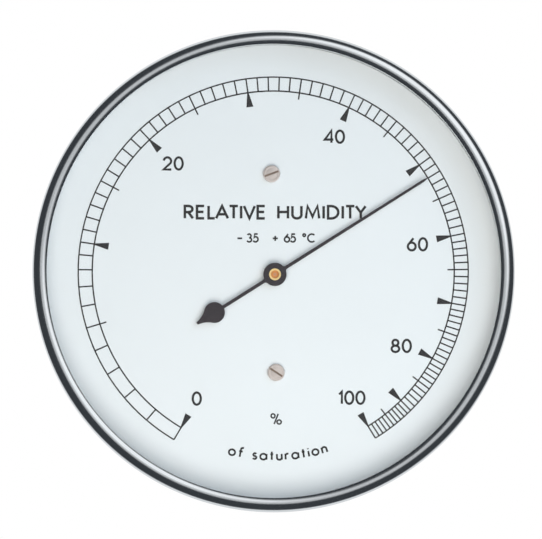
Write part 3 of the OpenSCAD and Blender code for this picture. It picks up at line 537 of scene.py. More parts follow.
def lapped(name, outline, segments, finish, at=(0, 0, 0)):
    """A piece turned from its outline, with its axis through at."""
    points, closed = turned_outline(outline)
    values = {"Segments": segments, "Path Radius": PATH_RADIUS, "Place": tuple(at)}
    return grown(name, shared_tree("Turned Piece", turning_tree), points, values, finish, closed)


def shared_tree(name, build):
    """The tree of that name, built at its first use."""
    return bpy.data.node_groups.get(name) or build()


def screw_tree():
    """Turns a screw from its outline, cuts its driver slot and sets one at each of two places."""
    tree, given = new_tree("Slotted Screws", {
        "Segments": "Int", "Path Radius": "Float", "Slot Width": "Float", "Slot Floor": "Float",
        "Slot Length": "Float", "Lower Place": "Vector", "Upper Place": "Vector",
        "Lower Turn": "Float", "Upper Turn": "Float"})
    size = add(tree, "ShaderNodeCombineXYZ", X=given["Slot Length"], Y=given["Slot Width"],
               Z=given["Slot Length"])
    rise = add(tree, "ShaderNodeMath", operation="MULTIPLY_ADD", _0=given["Slot Length"],
               _1=0.5, _2=given["Slot Floor"])
    bar = add(tree, "GeometryNodeTransform", Geometry=add(tree, "GeometryNodeMeshCube", Size=size),
              Translation=add(tree, "ShaderNodeCombineXYZ", Z=rise))
    cut = add(tree, "GeometryNodeMeshBoolean", operation="DIFFERENCE", solver="EXACT",
              Mesh_1=turned_body(tree, given), Mesh_2=bar)
    facing = add(tree, "GeometryNodeTransform", Geometry=cut, Rotation=(math.pi / 2, 0, 0))
    marked = add(tree, "GeometryNodeStoreNamedAttribute", data_type="FLOAT_VECTOR",
                 Geometry=facing, Name="turned_at", Value=add(tree, "GeometryNodeInputPosition"))
    apart = add(tree, "ShaderNodeVectorMath", operation="SUBTRACT", _0=given["Upper Place"],
                _1=given["Lower Place"])
    places = add(tree, "GeometryNodeMeshLine", Count=2, Start_Location=given["Lower Place"],
                 Offset=apart)
    turn = add(tree, "ShaderNodeMix", Factor=add(tree, "GeometryNodeInputIndex"),
               A=given["Lower Turn"], B=given["Upper Turn"])
    back = add(tree, "ShaderNodeMath", operation="MULTIPLY", _0=turn, _1=-1)
    heads = add(tree, "GeometryNodeInstanceOnPoints", Points=places, Instance=marked,
                Rotation=add(tree, "ShaderNodeCombineXYZ", Y=back))
    return close_tree(tree, given, heads)


def drawn_round(tree, line, sides, radius):
    """A round wire or hair along a line, closed at both ends."""
    ring = add(tree, "GeometryNodeCurvePrimitiveCircle", Resolution=sides, Radius=radius)
    return add(tree, "GeometryNodeCurveToMesh", Curve=line, Profile_Curve=ring, Fill_Caps=True)


def wire_tree():
    """Draws a round wire along a line."""
    tree, given = new_tree("Drawn Wire", {"Wire Radius": "Float", "Sides": "Int"})
    line = add(tree, "GeometryNodeMeshToCurve", Mesh=given["Geometry"])
    return close_tree(tree, given, drawn_round(tree, line, given["Sides"], given["Wire Radius"]))


# Each hair stands this many radians round the bundle from the last, so that no two line up
GOLDEN_TURN = 2.39996
# Faces round each hair, which is too fine to show more
HAIR_SIDES = 5


def hair_tree():
    """Lays single hairs side by side in a round bundle, each with its own slight wave."""
    tree, given = new_tree("Hair Bundle", {
        "Hairs": "Int", "Bundle Radius": "Float", "Hair Radius": "Float", "Wave": "Float"})
    number = add(tree, "GeometryNodeInputIndex")
    share = add(tree, "ShaderNodeMath", operation="DIVIDE", _0=number, _1=given["Hairs"])
    root = add(tree, "ShaderNodeMath", operation="SQRT", _0=share)
    out = add(tree, "ShaderNodeMath", operation="MULTIPLY", _0=root, _1=given["Bundle Radius"])
    turn = add(tree, "ShaderNodeMath", operation="MULTIPLY", _0=number, _1=GOLDEN_TURN)
    ways = [add(tree, "ShaderNodeMath", operation=way, _0=turn) for way in ("COSINE", "SINE")]
    x, y = [add(tree, "ShaderNodeMath", operation="MULTIPLY", _0=out, _1=way) for way in ways]
    spread = add(tree, "GeometryNodeSetPosition",
                 Geometry=add(tree, "GeometryNodeMeshLine", Count=given["Hairs"]),
                 Position=add(tree, "ShaderNodeCombineXYZ", X=x, Y=y))
    own = add(tree, "FunctionNodeRandomValue", data_type="FLOAT", Seed=3).outputs[1]
    shaded = add(tree, "GeometryNodeStoreNamedAttribute", data_type="FLOAT",
                 Geometry=spread, Name="hair_shade", Value=own)
    line = add(tree, "GeometryNodeMeshToCurve", Mesh=given["Geometry"])
    hairs = add(tree, "GeometryNodeInstanceOnPoints", Points=shaded, Instance=line)
    real = add(tree, "GeometryNodeRealizeInstances", Geometry=hairs)
    # Waves some 7 mm long, and others in each hair
    kept = add(tree, "GeometryNodeInputNamedAttribute", data_type="FLOAT", Name="hair_shade")
    drift = add(tree, "ShaderNodeTexNoise", noise_dimensions="4D", Scale=140.0, Detail=0.0,
                Vector=add(tree, "GeometryNodeInputPosition"), W=kept).outputs["Color"]
    sway = add(tree, "ShaderNodeVectorMath", operation="MULTIPLY_ADD", _0=drift,
               _1=(1, 1, 0), _2=(-0.5, -0.5, 0))
    moved = add(tree, "GeometryNodeSetPosition", Geometry=real,
                Offset=add(tree, "ShaderNodeVectorMath", operation="SCALE", _0=sway,
                           Scale=given["Wave"]))
    return close_tree(tree, given, drawn_round(tree, moved, HAIR_SIDES, given["Hair Radius"]))


# Lettering: plain strokes of even width. Each letter has its width and its strokes. A stroke is a
# row of points (x, y) and of arcs (middle x, middle y, x radius, y radius, first and last angle)

LETTERS = {
    "0": (0.66, [[(0.33, 0.5, 0.33, 0.5, 90, 450)]]),
    "1": (0.24, [[(0.0, 0.76), (0.22, 1), (0.22, 0)]]),
    "2": (0.64, [[(0.32, 0.69, 0.3, 0.31, 172, -36), (0.0, 0), (0.64, 0)]]),
    "3": (0.56, [[(0.26, 0.76, 0.23, 0.24, 155, -90)], [(0.26, 0.26, 0.29, 0.26, 90, -155)]]),
    "4": (0.7, [[(0.54, 0), (0.54, 1), (0, 0.26), (0.7, 0.26)]]),
    "5": (0.6, [[(0.55, 1), (0.18, 1), (0.09, 0.56), (0.27, 0.33, 0.32, 0.33, 118, -150)]]),
    "6": (0.64, [[(0.46, 1), (0.06, 0.5)], [(0.32, 0.32, 0.32, 0.32, 145, 505)]]),
    "8": (0.62, [[(0.31, 0.76, 0.24, 0.24, 90, 450)], [(0.31, 0.26, 0.31, 0.26, 90, 450)]]),
    "R": (0.52, [[(0, 0), (0, 1), (0.24, 1), (0.24, 0.75, 0.25, 0.25, 90, -90), (0, 0.5)],
                 [(0.22, 0.5), (0.52, 0)]]),
    "E": (0.46, [[(0.46, 1), (0, 1), (0, 0), (0.46, 0)], [(0, 0.52), (0.42, 0.52)]]),
    "L": (0.4, [[(0, 1), (0, 0), (0.4, 0)]]),
    "A": (0.76, [[(0, 0), (0.38, 1), (0.76, 0)], [(0.13, 0.33), (0.63, 0.33)]]),
    "T": (0.54, [[(0, 1), (0.54, 1)], [(0.27, 1), (0.27, 0)]]),
    "I": (0.0, [[(0, 0), (0, 1)]]),
    "V": (0.7, [[(0, 1), (0.35, 0), (0.7, 1)]]),
    "H": (0.62, [[(0, 0), (0, 1)], [(0.62, 0), (0.62, 1)], [(0, 0.52), (0.62, 0.52)]]),
    "U": (0.58, [[(0, 1), (0, 0.3), (0.29, 0.3, 0.29, 0.3, 190, 350), (0.58, 0.3), (0.58, 1)]]),
    "M": (0.86, [[(0, 0), (0.11, 1), (0.43, 0.14), (0.75, 1), (0.86, 0)]]),
    "D": (0.66, [[(0, 0), (0, 1), (0.2, 1), (0.2, 0.5, 0.46, 0.5, 85, -85), (0.2, 0), (0, 0)]]),
    "Y": (0.62, [[(0, 1), (0.31, 0.48), (0.62, 1)], [(0.31, 0.48), (0.31, 0)]]),
    "C": (0.8, [[(0.5, 0.5, 0.5, 0.5, 48, 312)]]),
    "-": (0.6, [[(0, 0.45), (0.6, 0.45)]]),
    "+": (0.64, [[(0, 0.45), (0.64, 0.45)], [(0.32, 0.13), (0.32, 0.77)]]),
    "o": (0.6, [[(0.3, 0.31, 0.3, 0.31, 90, 450)]]),
    "f": (0.34, [[(0.36, 0.82, 0.22, 0.18, 78, 180), (0.14, 0)], [(0, 0.6), (0.34, 0.6)]]),
    "s": (0.36, [[(0.19, 0.46, 0.15, 0.15, 35, 270), (0.19, 0.155, 0.17, 0.155, 90, -150)]]),
    "a": (0.6, [[(0.3, 0.31, 0.3, 0.31, 90, 450)], [(0.6, 0), (0.6, 0.62)]]),
    "t": (0.28, [[(0.14, 0.88), (0.14, 0)], [(0, 0.6), (0.28, 0.6)]]),
    "u": (0.46, [[(0, 0.62), (0, 0.23), (0.23, 0.23, 0.23, 0.23, 190, 350), (0.46, 0.23)],
                 [(0.46, 0.62), (0.46, 0)]]),
    "r": (0.28, [[(0, 0), (0, 0.62)], [(0, 0.36), (0.2, 0.38, 0.2, 0.22, 175, 62)]]),
    "i": (0.0, [[(0, 0), (0, 0.6)], [(0, 0.78), (0, 0.88)]]),
    "n": (0.44, [[(0, 0), (0, 0.62)], [(0, 0.38), (0.22, 0.38, 0.22, 0.23, 170, 10),
                                        (0.44, 0.38), (0.44, 0)]]),
    "%": (1.0, [[(0.19, 0.8, 0.19, 0.2, 90, 450)], [(0.79, 0.2, 0.21, 0.2, 90, 450)],
                [(0.7, 1), (0.3, 0)]]),
    "*": (0.3, [[(0.15, 0.86, 0.15, 0.16, 90, 450)]]),
    " ": (0.3, []),
}
# Share of the height by which a letter's open sides let its neighbours come closer
OPEN_LEFT = {"A": 0.13, "V": 0.13, "T": 0.1, "Y": 0.13}
OPEN_RIGHT = {**OPEN_LEFT, "L": 0.12, "R": 0.03}
# Points of a stroke nearer to each other than this are one point
SAME_POINT = 1e-6
# No mitred joint is longer than half the pen's width over this
LONGEST_MITRE = 0.45
# The ink's underside stands this far off the dial, so that the two don't lie in one plane
INK_CLEAR = 0.5e-6


def traced(stroke):
    """A stroke's points, with its arcs drawn out."""
    points = []
    for step in stroke:
        if len(step) == 2:
            points.append(step)
        else:
            points += arc(*step, max(4, round(abs(step[5] - step[4]) / 15)))
    return [p for i, p in enumerate(points) if i == 0 or math.dist(p, points[i - 1]) > SAME_POINT]


def widened(points, half):
    """Offsets to the left and right of each point, with joints mitred."""
    closed = len(points) > 3 and math.dist(points[0], points[-1]) < SAME_POINT
    if closed:
        points = points[:-1]
    count = len(points)
    sides = []
    for i in range(count):
        before = points[(i - 1) % count] if closed or i else None
        after = points[(i + 1) % count] if closed or i < count - 1 else None
        ways = [(Vector(b) - Vector(a)).normalized()
                for a, b in ((before, points[i]), (points[i], after)) if a and b]
        normal = sum((Vector((-w.y, w.x)) for w in ways), Vector((0, 0)))
        normal.normalize()
        reach = half / max(LONGEST_MITRE, normal.dot(Vector((-ways[0].y, ways[0].x))))
        spot = Vector(points[i])
        sides.append((spot + normal * reach, spot - normal * reach))
    return sides, closed


class Print:
    """Collects flat strokes of ink and turns them into one mesh on the dial."""

    def __init__(self, face, ink):
        self.points, self.faces, self.face, self.ink = [], [], face, ink

    def stroke(self, points, half, to_dial):
        sides, closed = widened(points, half)
        first = len(self.points)
        for pair in sides:
            for side in pair:
                x, z = to_dial(side)
                self.points += [(x, -self.face + INK_CLEAR, z), (x, -self.face - self.ink, z)]
        count = len(sides)
        for i in range(count if closed else count - 1):
            a, b = first + 4 * i, first + 4 * ((i + 1) % count)
            self.faces += [(a + 1, a + 3, b + 3, b + 1), (a, b, b + 2, a + 2),
                           (a, a + 1, b + 1, b), (a + 2, b + 2, b + 3, a + 3)]
        if not closed:
            a, b = first, first + 4 * (count - 1)
            self.faces += [(a, a + 2, a + 3, a + 1), (b, b + 1, b + 3, b + 2)]

    def word(self, text, height, width, pen, to_dial, wide=1.0):
        """Sets text of that height and width over all, centred on its foot, with a round pen;
        to_dial places each point."""
        tall = height - pen
        nearer = [OPEN_RIGHT.get(a, 0) + OPEN_LEFT.get(b, 0) for a, b in zip(text, text[1:])]
        own = (sum(LETTERS[c][0] for c in text) * wide - sum(nearer)) * tall
        gap = (width - pen - own) / max(1, len(text) - 1)
        x = (pen - width) / 2 if len(text) > 1 else -own / 2
        for c, less in zip(text, nearer + [0]):
            for stroke in LETTERS[c][1]:
                run = [(x + px * tall * wide, py * tall + pen / 2) for px, py in traced(stroke)]
                self.stroke(run, pen / 2, to_dial)
            x += (LETTERS[c][0] * wide - less) * tall + gap

    def mesh(self, name):
        made = bpy.data.meshes.new(name)
        made.from_pydata(self.points, [], self.faces)
        return made


def level(x, y):
    """Sets text level on the dial, with its foot's middle at that place."""
    return lambda p: (p[0] + x, p[1] + y)


def round_the_foot(radius, middle):
    """Bends a run of text along the foot of the dial, tops towards the middle."""
    def bent(p):
        a = middle + p[0] / radius
        return (radius - p[1]) * math.cos(a), (radius - p[1]) * math.sin(a)
    return bent


# Pieces


def ready(piece, body, slot, *nodes):
    """Fastens a finished piece to its body and hides the solids that it stands for. The slot, its
    finish, is not used.
    """
    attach(piece, body)
    if nodes:
        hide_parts(*nodes)


class HygroOperator:
    bl_options = {"REGISTER", "UNDO"}


class HYGRO_OT_finish_solids(HygroOperator, bpy.types.Operator):
    """Give every solid of the case, dial and movement its real finish"""
    bl_idname = "hygro.finish_solids"
    bl_label = "Finish Solids"

    def execute(self, context):
        c = context.scene.hygro_colours
        finishes = {
            brushed_case_steel(c.steel): ["case_shell"],
            polished_bezel_steel(c.bezel): ["bezel_ring"],
            clear_glass(): ["front_glass"],
            seal_rubber(): ["glass_seal"],
            woven_bronze(): ["vent_gauze"],
            dial_lacquer(c.lacquer): ["dial_plate"],
            printing_ink(c.ink): ["dial_markings"],
            plated_steel(c.nickel): ["dial_screws", "back_screws"],
            pointer_lacquer(c.black): ["pointer"],
            rolled_brass(c.brass): ["base_plate", "front_plate", "sector_gear", "hair_lever",
                                    "anchor_bracket"],
            turned_brass(c.brass): ["dial_posts", "plate_pillars", "rear_bushes", "front_bushes",
                                    "pointer_bush", "pinion", "hairspring_collet", "anchor_slide"],
            arbor_painted_reflection(): ["pointer_arbor"],
            turned_steel(c.steel): ["plate_screws", "base_spacers", "base_nuts",
                                    "hairspring_stud", "sector_arbor", "hook_pin", "spring_pin",
                                    "lower_hair_clamp", "upper_hair_clamp", "spring_post",
                                    "stop_pins", "bracket_rivets", "adjusting_screw",
                                    "screw_clip"],
            blued_steel(c.blued): ["hairspring"],
            spring_steel(c.steel): ["tension_spring"],
            combed_hair(c.hair): ["hair_bundle"],
        }
        left = set(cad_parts) - {n for names in finishes.values() for n in names}
        if left:
            raise RuntimeError("no finish for " + ", ".join(sorted(left)))
        for finish, names in finishes.items():
            for n in names:
                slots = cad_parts[n].material_slots
                if not slots:
                    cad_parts[n].data.materials.append(finish)
                for held in slots:
                    held.material = finish
        return {"FINISHED"}


class HYGRO_OT_bezel(HygroOperator, bpy.types.Operator):
    """Turn the rolled bezel with its rounded crown and skirt"""
    bl_idname = "hygro.bezel"
    bl_label = "Bezel"

    def execute(self, context):
        s = context.scene.hygro_bezel
        inner = s.inner_bend
        lean = math.degrees(math.asin((s.crown_radius - s.opening_radius) / inner))
        outer = s.outer_radius - s.crown_radius
        edge = 0.5 * MM
        outline = [(s.opening_radius, s.seat)]
        outline += arc(s.crown_radius, s.crown - inner, inner, inner, 90 + lean, 90, 24)
        outline += arc(s.crown_radius, s.crown - outer, outer, outer, 90, 0, 32)[1:]
        outline += arc(s.outer_radius - edge, s.shoulder + edge, edge, edge, 0, -90, 10)
        outline += [(s.neck_radius, s.shoulder), (s.neck_radius, s.seat)]
        piece = lapped("bezel_roll", outline, s.segments,
                       bpy.data.materials["buffed_turned_steel"])
        ready(piece, "case", "bezel_steel", "bezel_ring")
        return {"FINISHED"}


class HYGRO_OT_lettering(HygroOperator, bpy.types.Operator):
    """Print the numerals and the plain words of the dial"""
    bl_idname = "hygro.lettering"
    bl_label = "Lettering"

    def execute(self, context):
        s = context.scene.hygro_dial
        sheet = Print(s.face, s.ink)
        h = s.numeral
        # The places are in millimetres from the middle of the case: of each numeral's own middle,
        # and of the middle of each word's foot
        for text, x, y in (("0", -16.4, -27.2), ("20", -21.5, 23.2), ("40", 13.1, 29.0),
                           ("60", 30.9, 5.9), ("80", 27.4, -15.9), ("100", 16.8, -27.0)):
            width = (2.2, 4.6, 5.9)[len(text) - 1] * MM
            sheet.word(text, h, width, 0.49 * MM, level(x * MM, y * MM - h / 2))
        sheet.word("RELATIVE HUMIDITY", 3.2 * MM, 39.3 * MM, 0.55 * MM,
                   level(0.4 * MM, 11.15 * MM), wide=1.25)
        for text, width, x in (("-", 1.3, -7.2), ("35", 2.7, -4.45), ("+", 1.4, 0.4),
                               ("65", 2.7, 3.55), ("*C", 2.75, 7.55)):
            sheet.word(text, 2.05 * MM, width * MM, 0.36 * MM, level(x * MM, 6.2 * MM))
        sheet.word("%", 2.5 * MM, 2.5 * MM, 0.33 * MM, level(0.6 * MM, -32.8 * MM))
        sheet.word("of saturation", 2.4 * MM, 22.0 * MM, 0.41 * MM,
                   round_the_foot(40.5 * MM, math.radians(-88.6)), wide=1.15)
        piece = shown("dial_lettering", sheet.mesh("dial_lettering"),
                      bpy.data.materials["screen_printed_ink"])
        ready(piece, "case", "dial_ink")
        return {"FINISHED"}


class HYGRO_OT_dial_screws(HygroOperator, bpy.types.Operator):
    """Turn the two slotted screws that hold the dial"""
    bl_idname = "hygro.dial_screws"
    bl_label = "Dial Screws"

    def execute(self, context):
        s = context.scene.hygro_dial
        r, h = s.head_radius, s.head_height
        # A groove turned in the head: how far off its own middle, and how deep, in millimetres
        groove = ((-0.18, 0), (-0.06, 0.05), (0.06, 0.05), (0.18, 0))
        edge, shank, deep = 0.42 * h, 1.0 * MM, 3.5 * MM
        outline = [(0, h)] + [(0.66 * r + x * MM, h - y * MM) for x, y in groove]
        outline += arc(r - edge, h - edge, edge, edge, 90, 0, 10)
        outline += [(r, 0.0), (shank, 0.0), (shank, -deep), (0, -deep)]
        points, closed = turned_outline(outline)
        lean = Vector((-math.sin(s.screw_lean), 0, math.cos(s.screw_lean))) * s.screw_spread
        face = MOVEMENT + Vector((-s.screws_left, -s.face, s.screws_up))
        values = {"Segments": SMALL_ROUND, "Path Radius": PATH_RADIUS,
                  "Slot Width": s.slot_width, "Slot Floor": h * 0.35, "Slot Length": 3 * r,
                  "Lower Place": tuple(face - lean), "Upper Place": tuple(face + lean),
                  "Lower Turn": s.lower_turn, "Upper Turn": s.upper_turn}
        finish = screw_nickel(context.scene.hygro_colours.nickel)
        piece = grown("dial_screw_heads", shared_tree("Slotted Screws", screw_tree), points,
                      values, finish, closed)
        ready(piece, "case", "nickel_screws", "dial_screws")
        return {"FINISHED"}


def turned_about_arbor(direction):
    """Puts a drawing round the arbor on the dial: x along direction, y across, z to the front."""
    facing = Matrix.Rotation(math.pi / 2, 4, "X")
    return Matrix.Translation(MOVEMENT) @ facing @ Matrix.Rotation(direction, 4, "Z")


def raised_sheet(name, outlines, low, high, bevel, finish, into):
    """Plates of the given outlines from low to high, with their edges rounded."""
    work = bmesh.new()
    for outline in outlines:
        side = work.faces.new([work.verts.new((x, y, low)) for x, y in outline])
        for part in bmesh.ops.extrude_face_region(work, geom=[side])["geom"]:
            if isinstance(part, bmesh.types.BMVert):
                part.co.z = high
    bmesh.ops.recalc_face_normals(work, faces=work.faces)
    mesh = bpy.data.meshes.new(name)
    work.to_mesh(mesh)
    work.free()
    draft = in_scene(name + "_draft", mesh)
    rounding = draft.modifiers.new("Edge", "BEVEL")
    rounding.width = bevel
    rounding.segments = 2
    rounding.limit_method = "ANGLE"
    rounding.angle_limit = math.radians(60)
    done = as_mesh(draft)
    done.transform(into)
    return shown(name, done, finish)


def fused(name, piece, other):
    """One closed piece from two that run into each other."""
    finish = piece.data.materials[0]
    union = piece.modifiers.new("Fuse", "BOOLEAN")
    union.operation = "UNION"
    union.solver = "EXACT"
    union.object = other
    mesh = as_mesh(piece)
    bpy.data.objects.remove(other)
    return shown(name, mesh, finish)


def mirrored(upper):
    """A whole outline from its upper side, which runs from end to end."""
    return upper + [(x, -y) for x, y in reversed(upper) if y]


def boss_fillet(s, side):
    """The small fillet where the rod leaves the boss, from inside the boss outwards."""
    r = s.boss_radius
    # Beyond the boss's edge, and off the rod's middle line, in millimetres
    steps = ((-0.5, 0.74), (-0.12, 0.7), (-0.02, 0.57), (0.06, 0.46), (0.2, 0.39))
    straight = (side * (r + 0.45 * MM), s.root_width / 2)
    return [(side * (r + x * MM), y * MM) for x, y in steps] + [straight]


def rod_outline(s):
    """The tapering rod, from the boss to its point."""
    point, blunt = 1.0 * MM, 0.05 * MM
    return mirrored(boss_fillet(s, 1) + [(s.reach - point, s.tip_width / 2), (s.reach, blunt)])


def tail_outline(s):
    """The rod behind the boss, the tail's disc and its concave flare to a blunt end."""
    r, half = s.tail_radius, s.root_width / 2
    # Angle on the disc at which the flare leaves it along a tangent
    leaves = 133
    middle, end = Vector((-s.tail, 0)), Vector((-s.tail - s.flare, 0.3 * MM))
    way = Vector((math.cos(math.radians(leaves)), math.sin(math.radians(leaves))))
    d = middle - end
    bend = (r * r - d.dot(d)) / (2 * (d.dot(way) + r)) - r
    c = middle + (bend + r) * way
    last = math.degrees(math.atan2(end.y - c.y, end.x - c.x))
    meets = math.degrees(math.asin(half / r))
    disc = arc(-s.tail, 0, r, r, meets, leaves, 40)
    return mirrored(boss_fillet(s, -1) + disc + arc(*c, bend, bend, leaves - 180, last, 12)[1:])


class HYGRO_OT_pointer(HygroOperator, bpy.types.Operator):
    """Cut the black pointer with its boss and flared tail, and turn the brass bush"""
    bl_idname = "hygro.pointer"
    bl_label = "Pointer"

    def execute(self, context):
        s = context.scene.hygro_pointer
        black = bpy.data.materials["matt_black_lacquer"]
        # Heights are above the back of the case
        low, high, edge = 27.25 * MM, 27.55 * MM, 0.07 * MM
        blade = raised_sheet("pointer_blade", [rod_outline(s), tail_outline(s)], low, high, edge,
                             black, turned_about_arbor(s.direction))
        low, high, edge = 27.1 * MM, 27.7 * MM, 0.16 * MM
        inner = s.bush_radius + 0.002 * MM
        outline = [(inner, low), (inner, high)]
        outline += arc(s.boss_radius - edge, high - edge, edge, edge, 90, 0, 8)
        outline += [(s.boss_radius, low)]
        boss = lapped("pointer_boss", outline, SMALL_ROUND, black, MOVEMENT)
        ready(fused("pointer_cut", blade, boss), "pointer", "pointer_black", "pointer")
        r = s.bush_radius
        low, high, lip, core = 26.7 * MM, 28.0 * MM, 0.16 * MM, 0.352 * MM
        # The dish round the arbor's end: radius, and depth below the rim, in millimetres
        dish = ((0.6, 0.34), (0.78, 0.26), (0.86, 0.06))
        outline = [(core, low), (core, high - 0.35 * MM)]
        outline += [(x * MM, high - y * MM) for x, y in dish]
        outline += arc(r - lip, high - lip, 1.6 * lip, lip, 115, 90, 4)
        outline += arc(r - lip, high - lip, lip, lip, 90, 0, 8)[1:]
        outline += [(r, low)]
        bush = lapped("pointer_bush_turned", outline, SMALL_ROUND, bush_brass(), MOVEMENT)
        ready(bush, "pointer", "turned_brass", "pointer_bush")
        return {"FINISHED"}


class HYGRO_OT_hair(HygroOperator, bpy.types.Operator):
    """Lay the bundle of single hairs between its two clamps"""
    bl_idname = "hygro.hair"
    bl_label = "Hair Bundle"

    def execute(self, context):
        s = context.scene.hygro_movement
        low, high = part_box("hair_bundle")
        wave = 0.05 * MM
        radius = (high.x - low.x) / 2 - s.strand_radius - wave
        steps = 60
        points = [(0, 0, (high.z - low.z) * i / steps) for i in range(steps + 1)]
        values = {"Hairs": s.strands, "Bundle Radius": radius, "Hair Radius": s.strand_radius,
                  "Wave": wave}
        piece = grown("hair_strands", shared_tree("Hair Bundle", hair_tree), points, values,
                      bpy.data.materials["combed_hair"])
        middle = (low + high) / 2
        piece.data.transform(Matrix.Translation((middle.x, middle.y, low.z)))
        ready(piece, "hair", "hair", "hair_bundle")
        return {"FINISHED"}


class HYGRO_OT_tension_spring(HygroOperator, bpy.types.Operator):
    """Wind the tension spring with a loop at each end"""
    bl_idname = "hygro.tension_spring"
    bl_label = "Tension Spring"

    def execute(self, context):
        s = context.scene.hygro_movement
        foot, post = [(sum(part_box(pin), Vector()) / 2).xz for pin in ("spring_pin", "spring_post")]
        # Height above the back, radius of the eye at each end, and room from the pin to the coil
        depth, loop, gap = 12.1 * MM, 0.82 * MM, 2.4 * MM
        c = s.coil_radius
        # From the eye out to the coil, as shares of the coil's radius and of the room left
        bends = ((0.45, 0.21), (0.85, 0.5), (1, 0.86))
        eye = arc(0, 0, loop, loop, 240, 450, 18)
        end = eye + [(-c * x, loop + (gap - loop) * y) for x, y in bends]
        points = [(foot.x + x, -depth, foot.y + y) for x, y in end]
        ring = 24
        steps = s.coil_turns * ring
        rise = post.y - foot.y - 2 * gap
        for i in range(steps + 1):
            a = math.pi + math.tau * i / ring
            points.append((foot.x + c * math.cos(a), -depth - c * math.sin(a),
                           foot.y + gap + rise * i / steps))
        points += [(foot.x + x, -depth, post.y - y) for x, y in reversed(end)]
        piece = grown("tension_spring_wire", shared_tree("Drawn Wire", wire_tree), points,
                      {"Wire Radius": s.wire_radius, "Sides": 10},
                      bpy.data.materials["drawn_spring_wire"])
        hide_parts("tension_spring")
        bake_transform(piece)
        return {"FINISHED"}


def off_axis(degrees, towards):
    """A direction so many degrees from the dial's axis, towards that angle on the dial."""
    a, b = math.radians(degrees), math.radians(towards)
    return Vector((math.sin(a) * math.cos(b), -math.cos(a), math.sin(a) * math.sin(b)))


# Each lamp's width, its direction from the middle of the back, how far off it stands, its colour
LAMPS = {
    "key": (0.6, off_axis(41, 30), 0.6, (0.84, 1.0, 1.18)),
    "fill": (0.3, off_axis(17, -88), 0.3, (1.07, 1.0, 0.93)),
    "back": (0.9, off_axis(140, 70), 1.0, (1.0, 1.0, 1.0)),
}
# Openings of the tent: the direction of the middle, that of the long side, half the length and
# half the width in degrees, and how soft the edge is
WIDE_OPENING = (off_axis(30.5, 45), off_axis(90, 135), 24, 24.5, 0.3)
PALE_WALL = (off_axis(4, -20), off_axis(90, 150), 26, 10, 0.2)
# Shares of white at which the pale wall, the back of the tent and the floor show
WALL_GLOW, BACK_GLOW, FLOOR_GLOW = 0.5, 0.75, 0.65
# Width of the photograph, and how far the rim's middle lies to the right of its middle and
# below it, in pixels
PHOTO_WIDTH = 542
RIM_RIGHT, RIM_BELOW = 2.63, 1.72
# Height of the rim above the back of the case, and the camera's sensor width in millimetres
RIM_HEIGHT, SENSOR = 29.0 * MM, 36


def opening(tree, way, middle, along, long, short, soft):
    """1 inside an oval opening round the direction middle, 0 outside it."""
    across = middle.cross(along)
    axes = [axis / math.sin(math.radians(half)) for axis, half in ((along, long), (across, short))]
    x, y, ahead = [add(tree, "ShaderNodeVectorMath", operation="DOT_PRODUCT", _0=way,
                       _1=tuple(axis)).outputs["Value"] for axis in (*axes, middle)]
    flat = add(tree, "ShaderNodeCombineXYZ", X=x, Y=y)
    off = add(tree, "ShaderNodeVectorMath", operation="LENGTH", _0=flat).outputs["Value"]
    inside = add(tree, "ShaderNodeMapRange", interpolation_type="SMOOTHSTEP", Value=off,
                 _1=1 + soft, _2=1 - soft)
    near = add(tree, "ShaderNodeMath", operation="GREATER_THAN", _0=ahead, _1=0.0)
    return add(tree, "ShaderNodeMath", operation="MULTIPLY", _0=inside, _1=near)


def tent_cloth():
    # Dark cloth round the camera that polished metal mirrors, with a wide opening to the white
    # room at the upper right and thin pale cloth over all of the back
    made, tree = new_material("dark_tent_cloth")
    at = add(tree, "ShaderNodeTexCoord").outputs["Object"]
    way = add(tree, "ShaderNodeVectorMath", operation="NORMALIZE", _0=at)
    wide, wall = [opening(tree, way, *shape) for shape in (WIDE_OPENING, PALE_WALL)]
    # The wall behind the camera shows dimly in the middle
    dim = add(tree, "ShaderNodeMath", operation="MULTIPLY", _0=wall, _1=WALL_GLOW)
    front = add(tree, "ShaderNodeMath", operation="MAXIMUM", _0=wide, _1=dim)
    parts = add(tree, "ShaderNodeSeparateXYZ", _0=way).outputs
    tall = add(tree, "ShaderNodeMath", operation="MULTIPLY", _0=parts["Z"], _1=parts["Z"])
    # The pale cloth reaches further to the front above and below than at the sides
    depth = add(tree, "ShaderNodeMath", operation="MULTIPLY_ADD", _0=tall, _1=0.3, _2=parts["Y"])
    back = add(tree, "ShaderNodeMapRange", interpolation_type="SMOOTHSTEP", Value=depth, _1=0.3,
               _2=0.5, _4=BACK_GLOW)
    gap = add(tree, "ShaderNodeMath", operation="MAXIMUM", _0=front, _1=back)
    cloth = add(tree, "ShaderNodeEmission", Color=(*linear("#EAF4FF"), 1), Strength=0.05)
    mixed = add(tree, "ShaderNodeMixShader", _0=gap, _1=cloth,
                _2=add(tree, "ShaderNodeBsdfTransparent"))
    add(tree, "ShaderNodeOutputMaterial", Surface=mixed)
    return made


def seen_rays(tree):
    """1 for rays that the camera, metal or glass sends out, 0 for those that light the object."""
    path = add(tree, "ShaderNodeLightPath").outputs
    either = add(tree, "ShaderNodeMath", operation="MAXIMUM", _0=path["Is Camera Ray"],
                 _1=path["Is Glossy Ray"])
    return add(tree, "ShaderNodeMath", operation="MAXIMUM", _0=either,
               _1=path["Is Transmission Ray"])


def floor_paper():
    # Pale paper: seen nearly as bright as the room, but it lights the object only as paper
    made, tree = new_material("pale_floor")
    paper = (*linear("#F2F2F0"), 1)
    glow = add(tree, "ShaderNodeMath", operation="MULTIPLY", _0=seen_rays(tree), _1=FLOOR_GLOW)
    shader = add(tree, "ShaderNodeBsdfPrincipled", Base_Color=paper, Roughness=0.9,
                 Emission_Color=paper, Emission_Strength=glow)
    add(tree, "ShaderNodeOutputMaterial", Surface=shader)
    return made


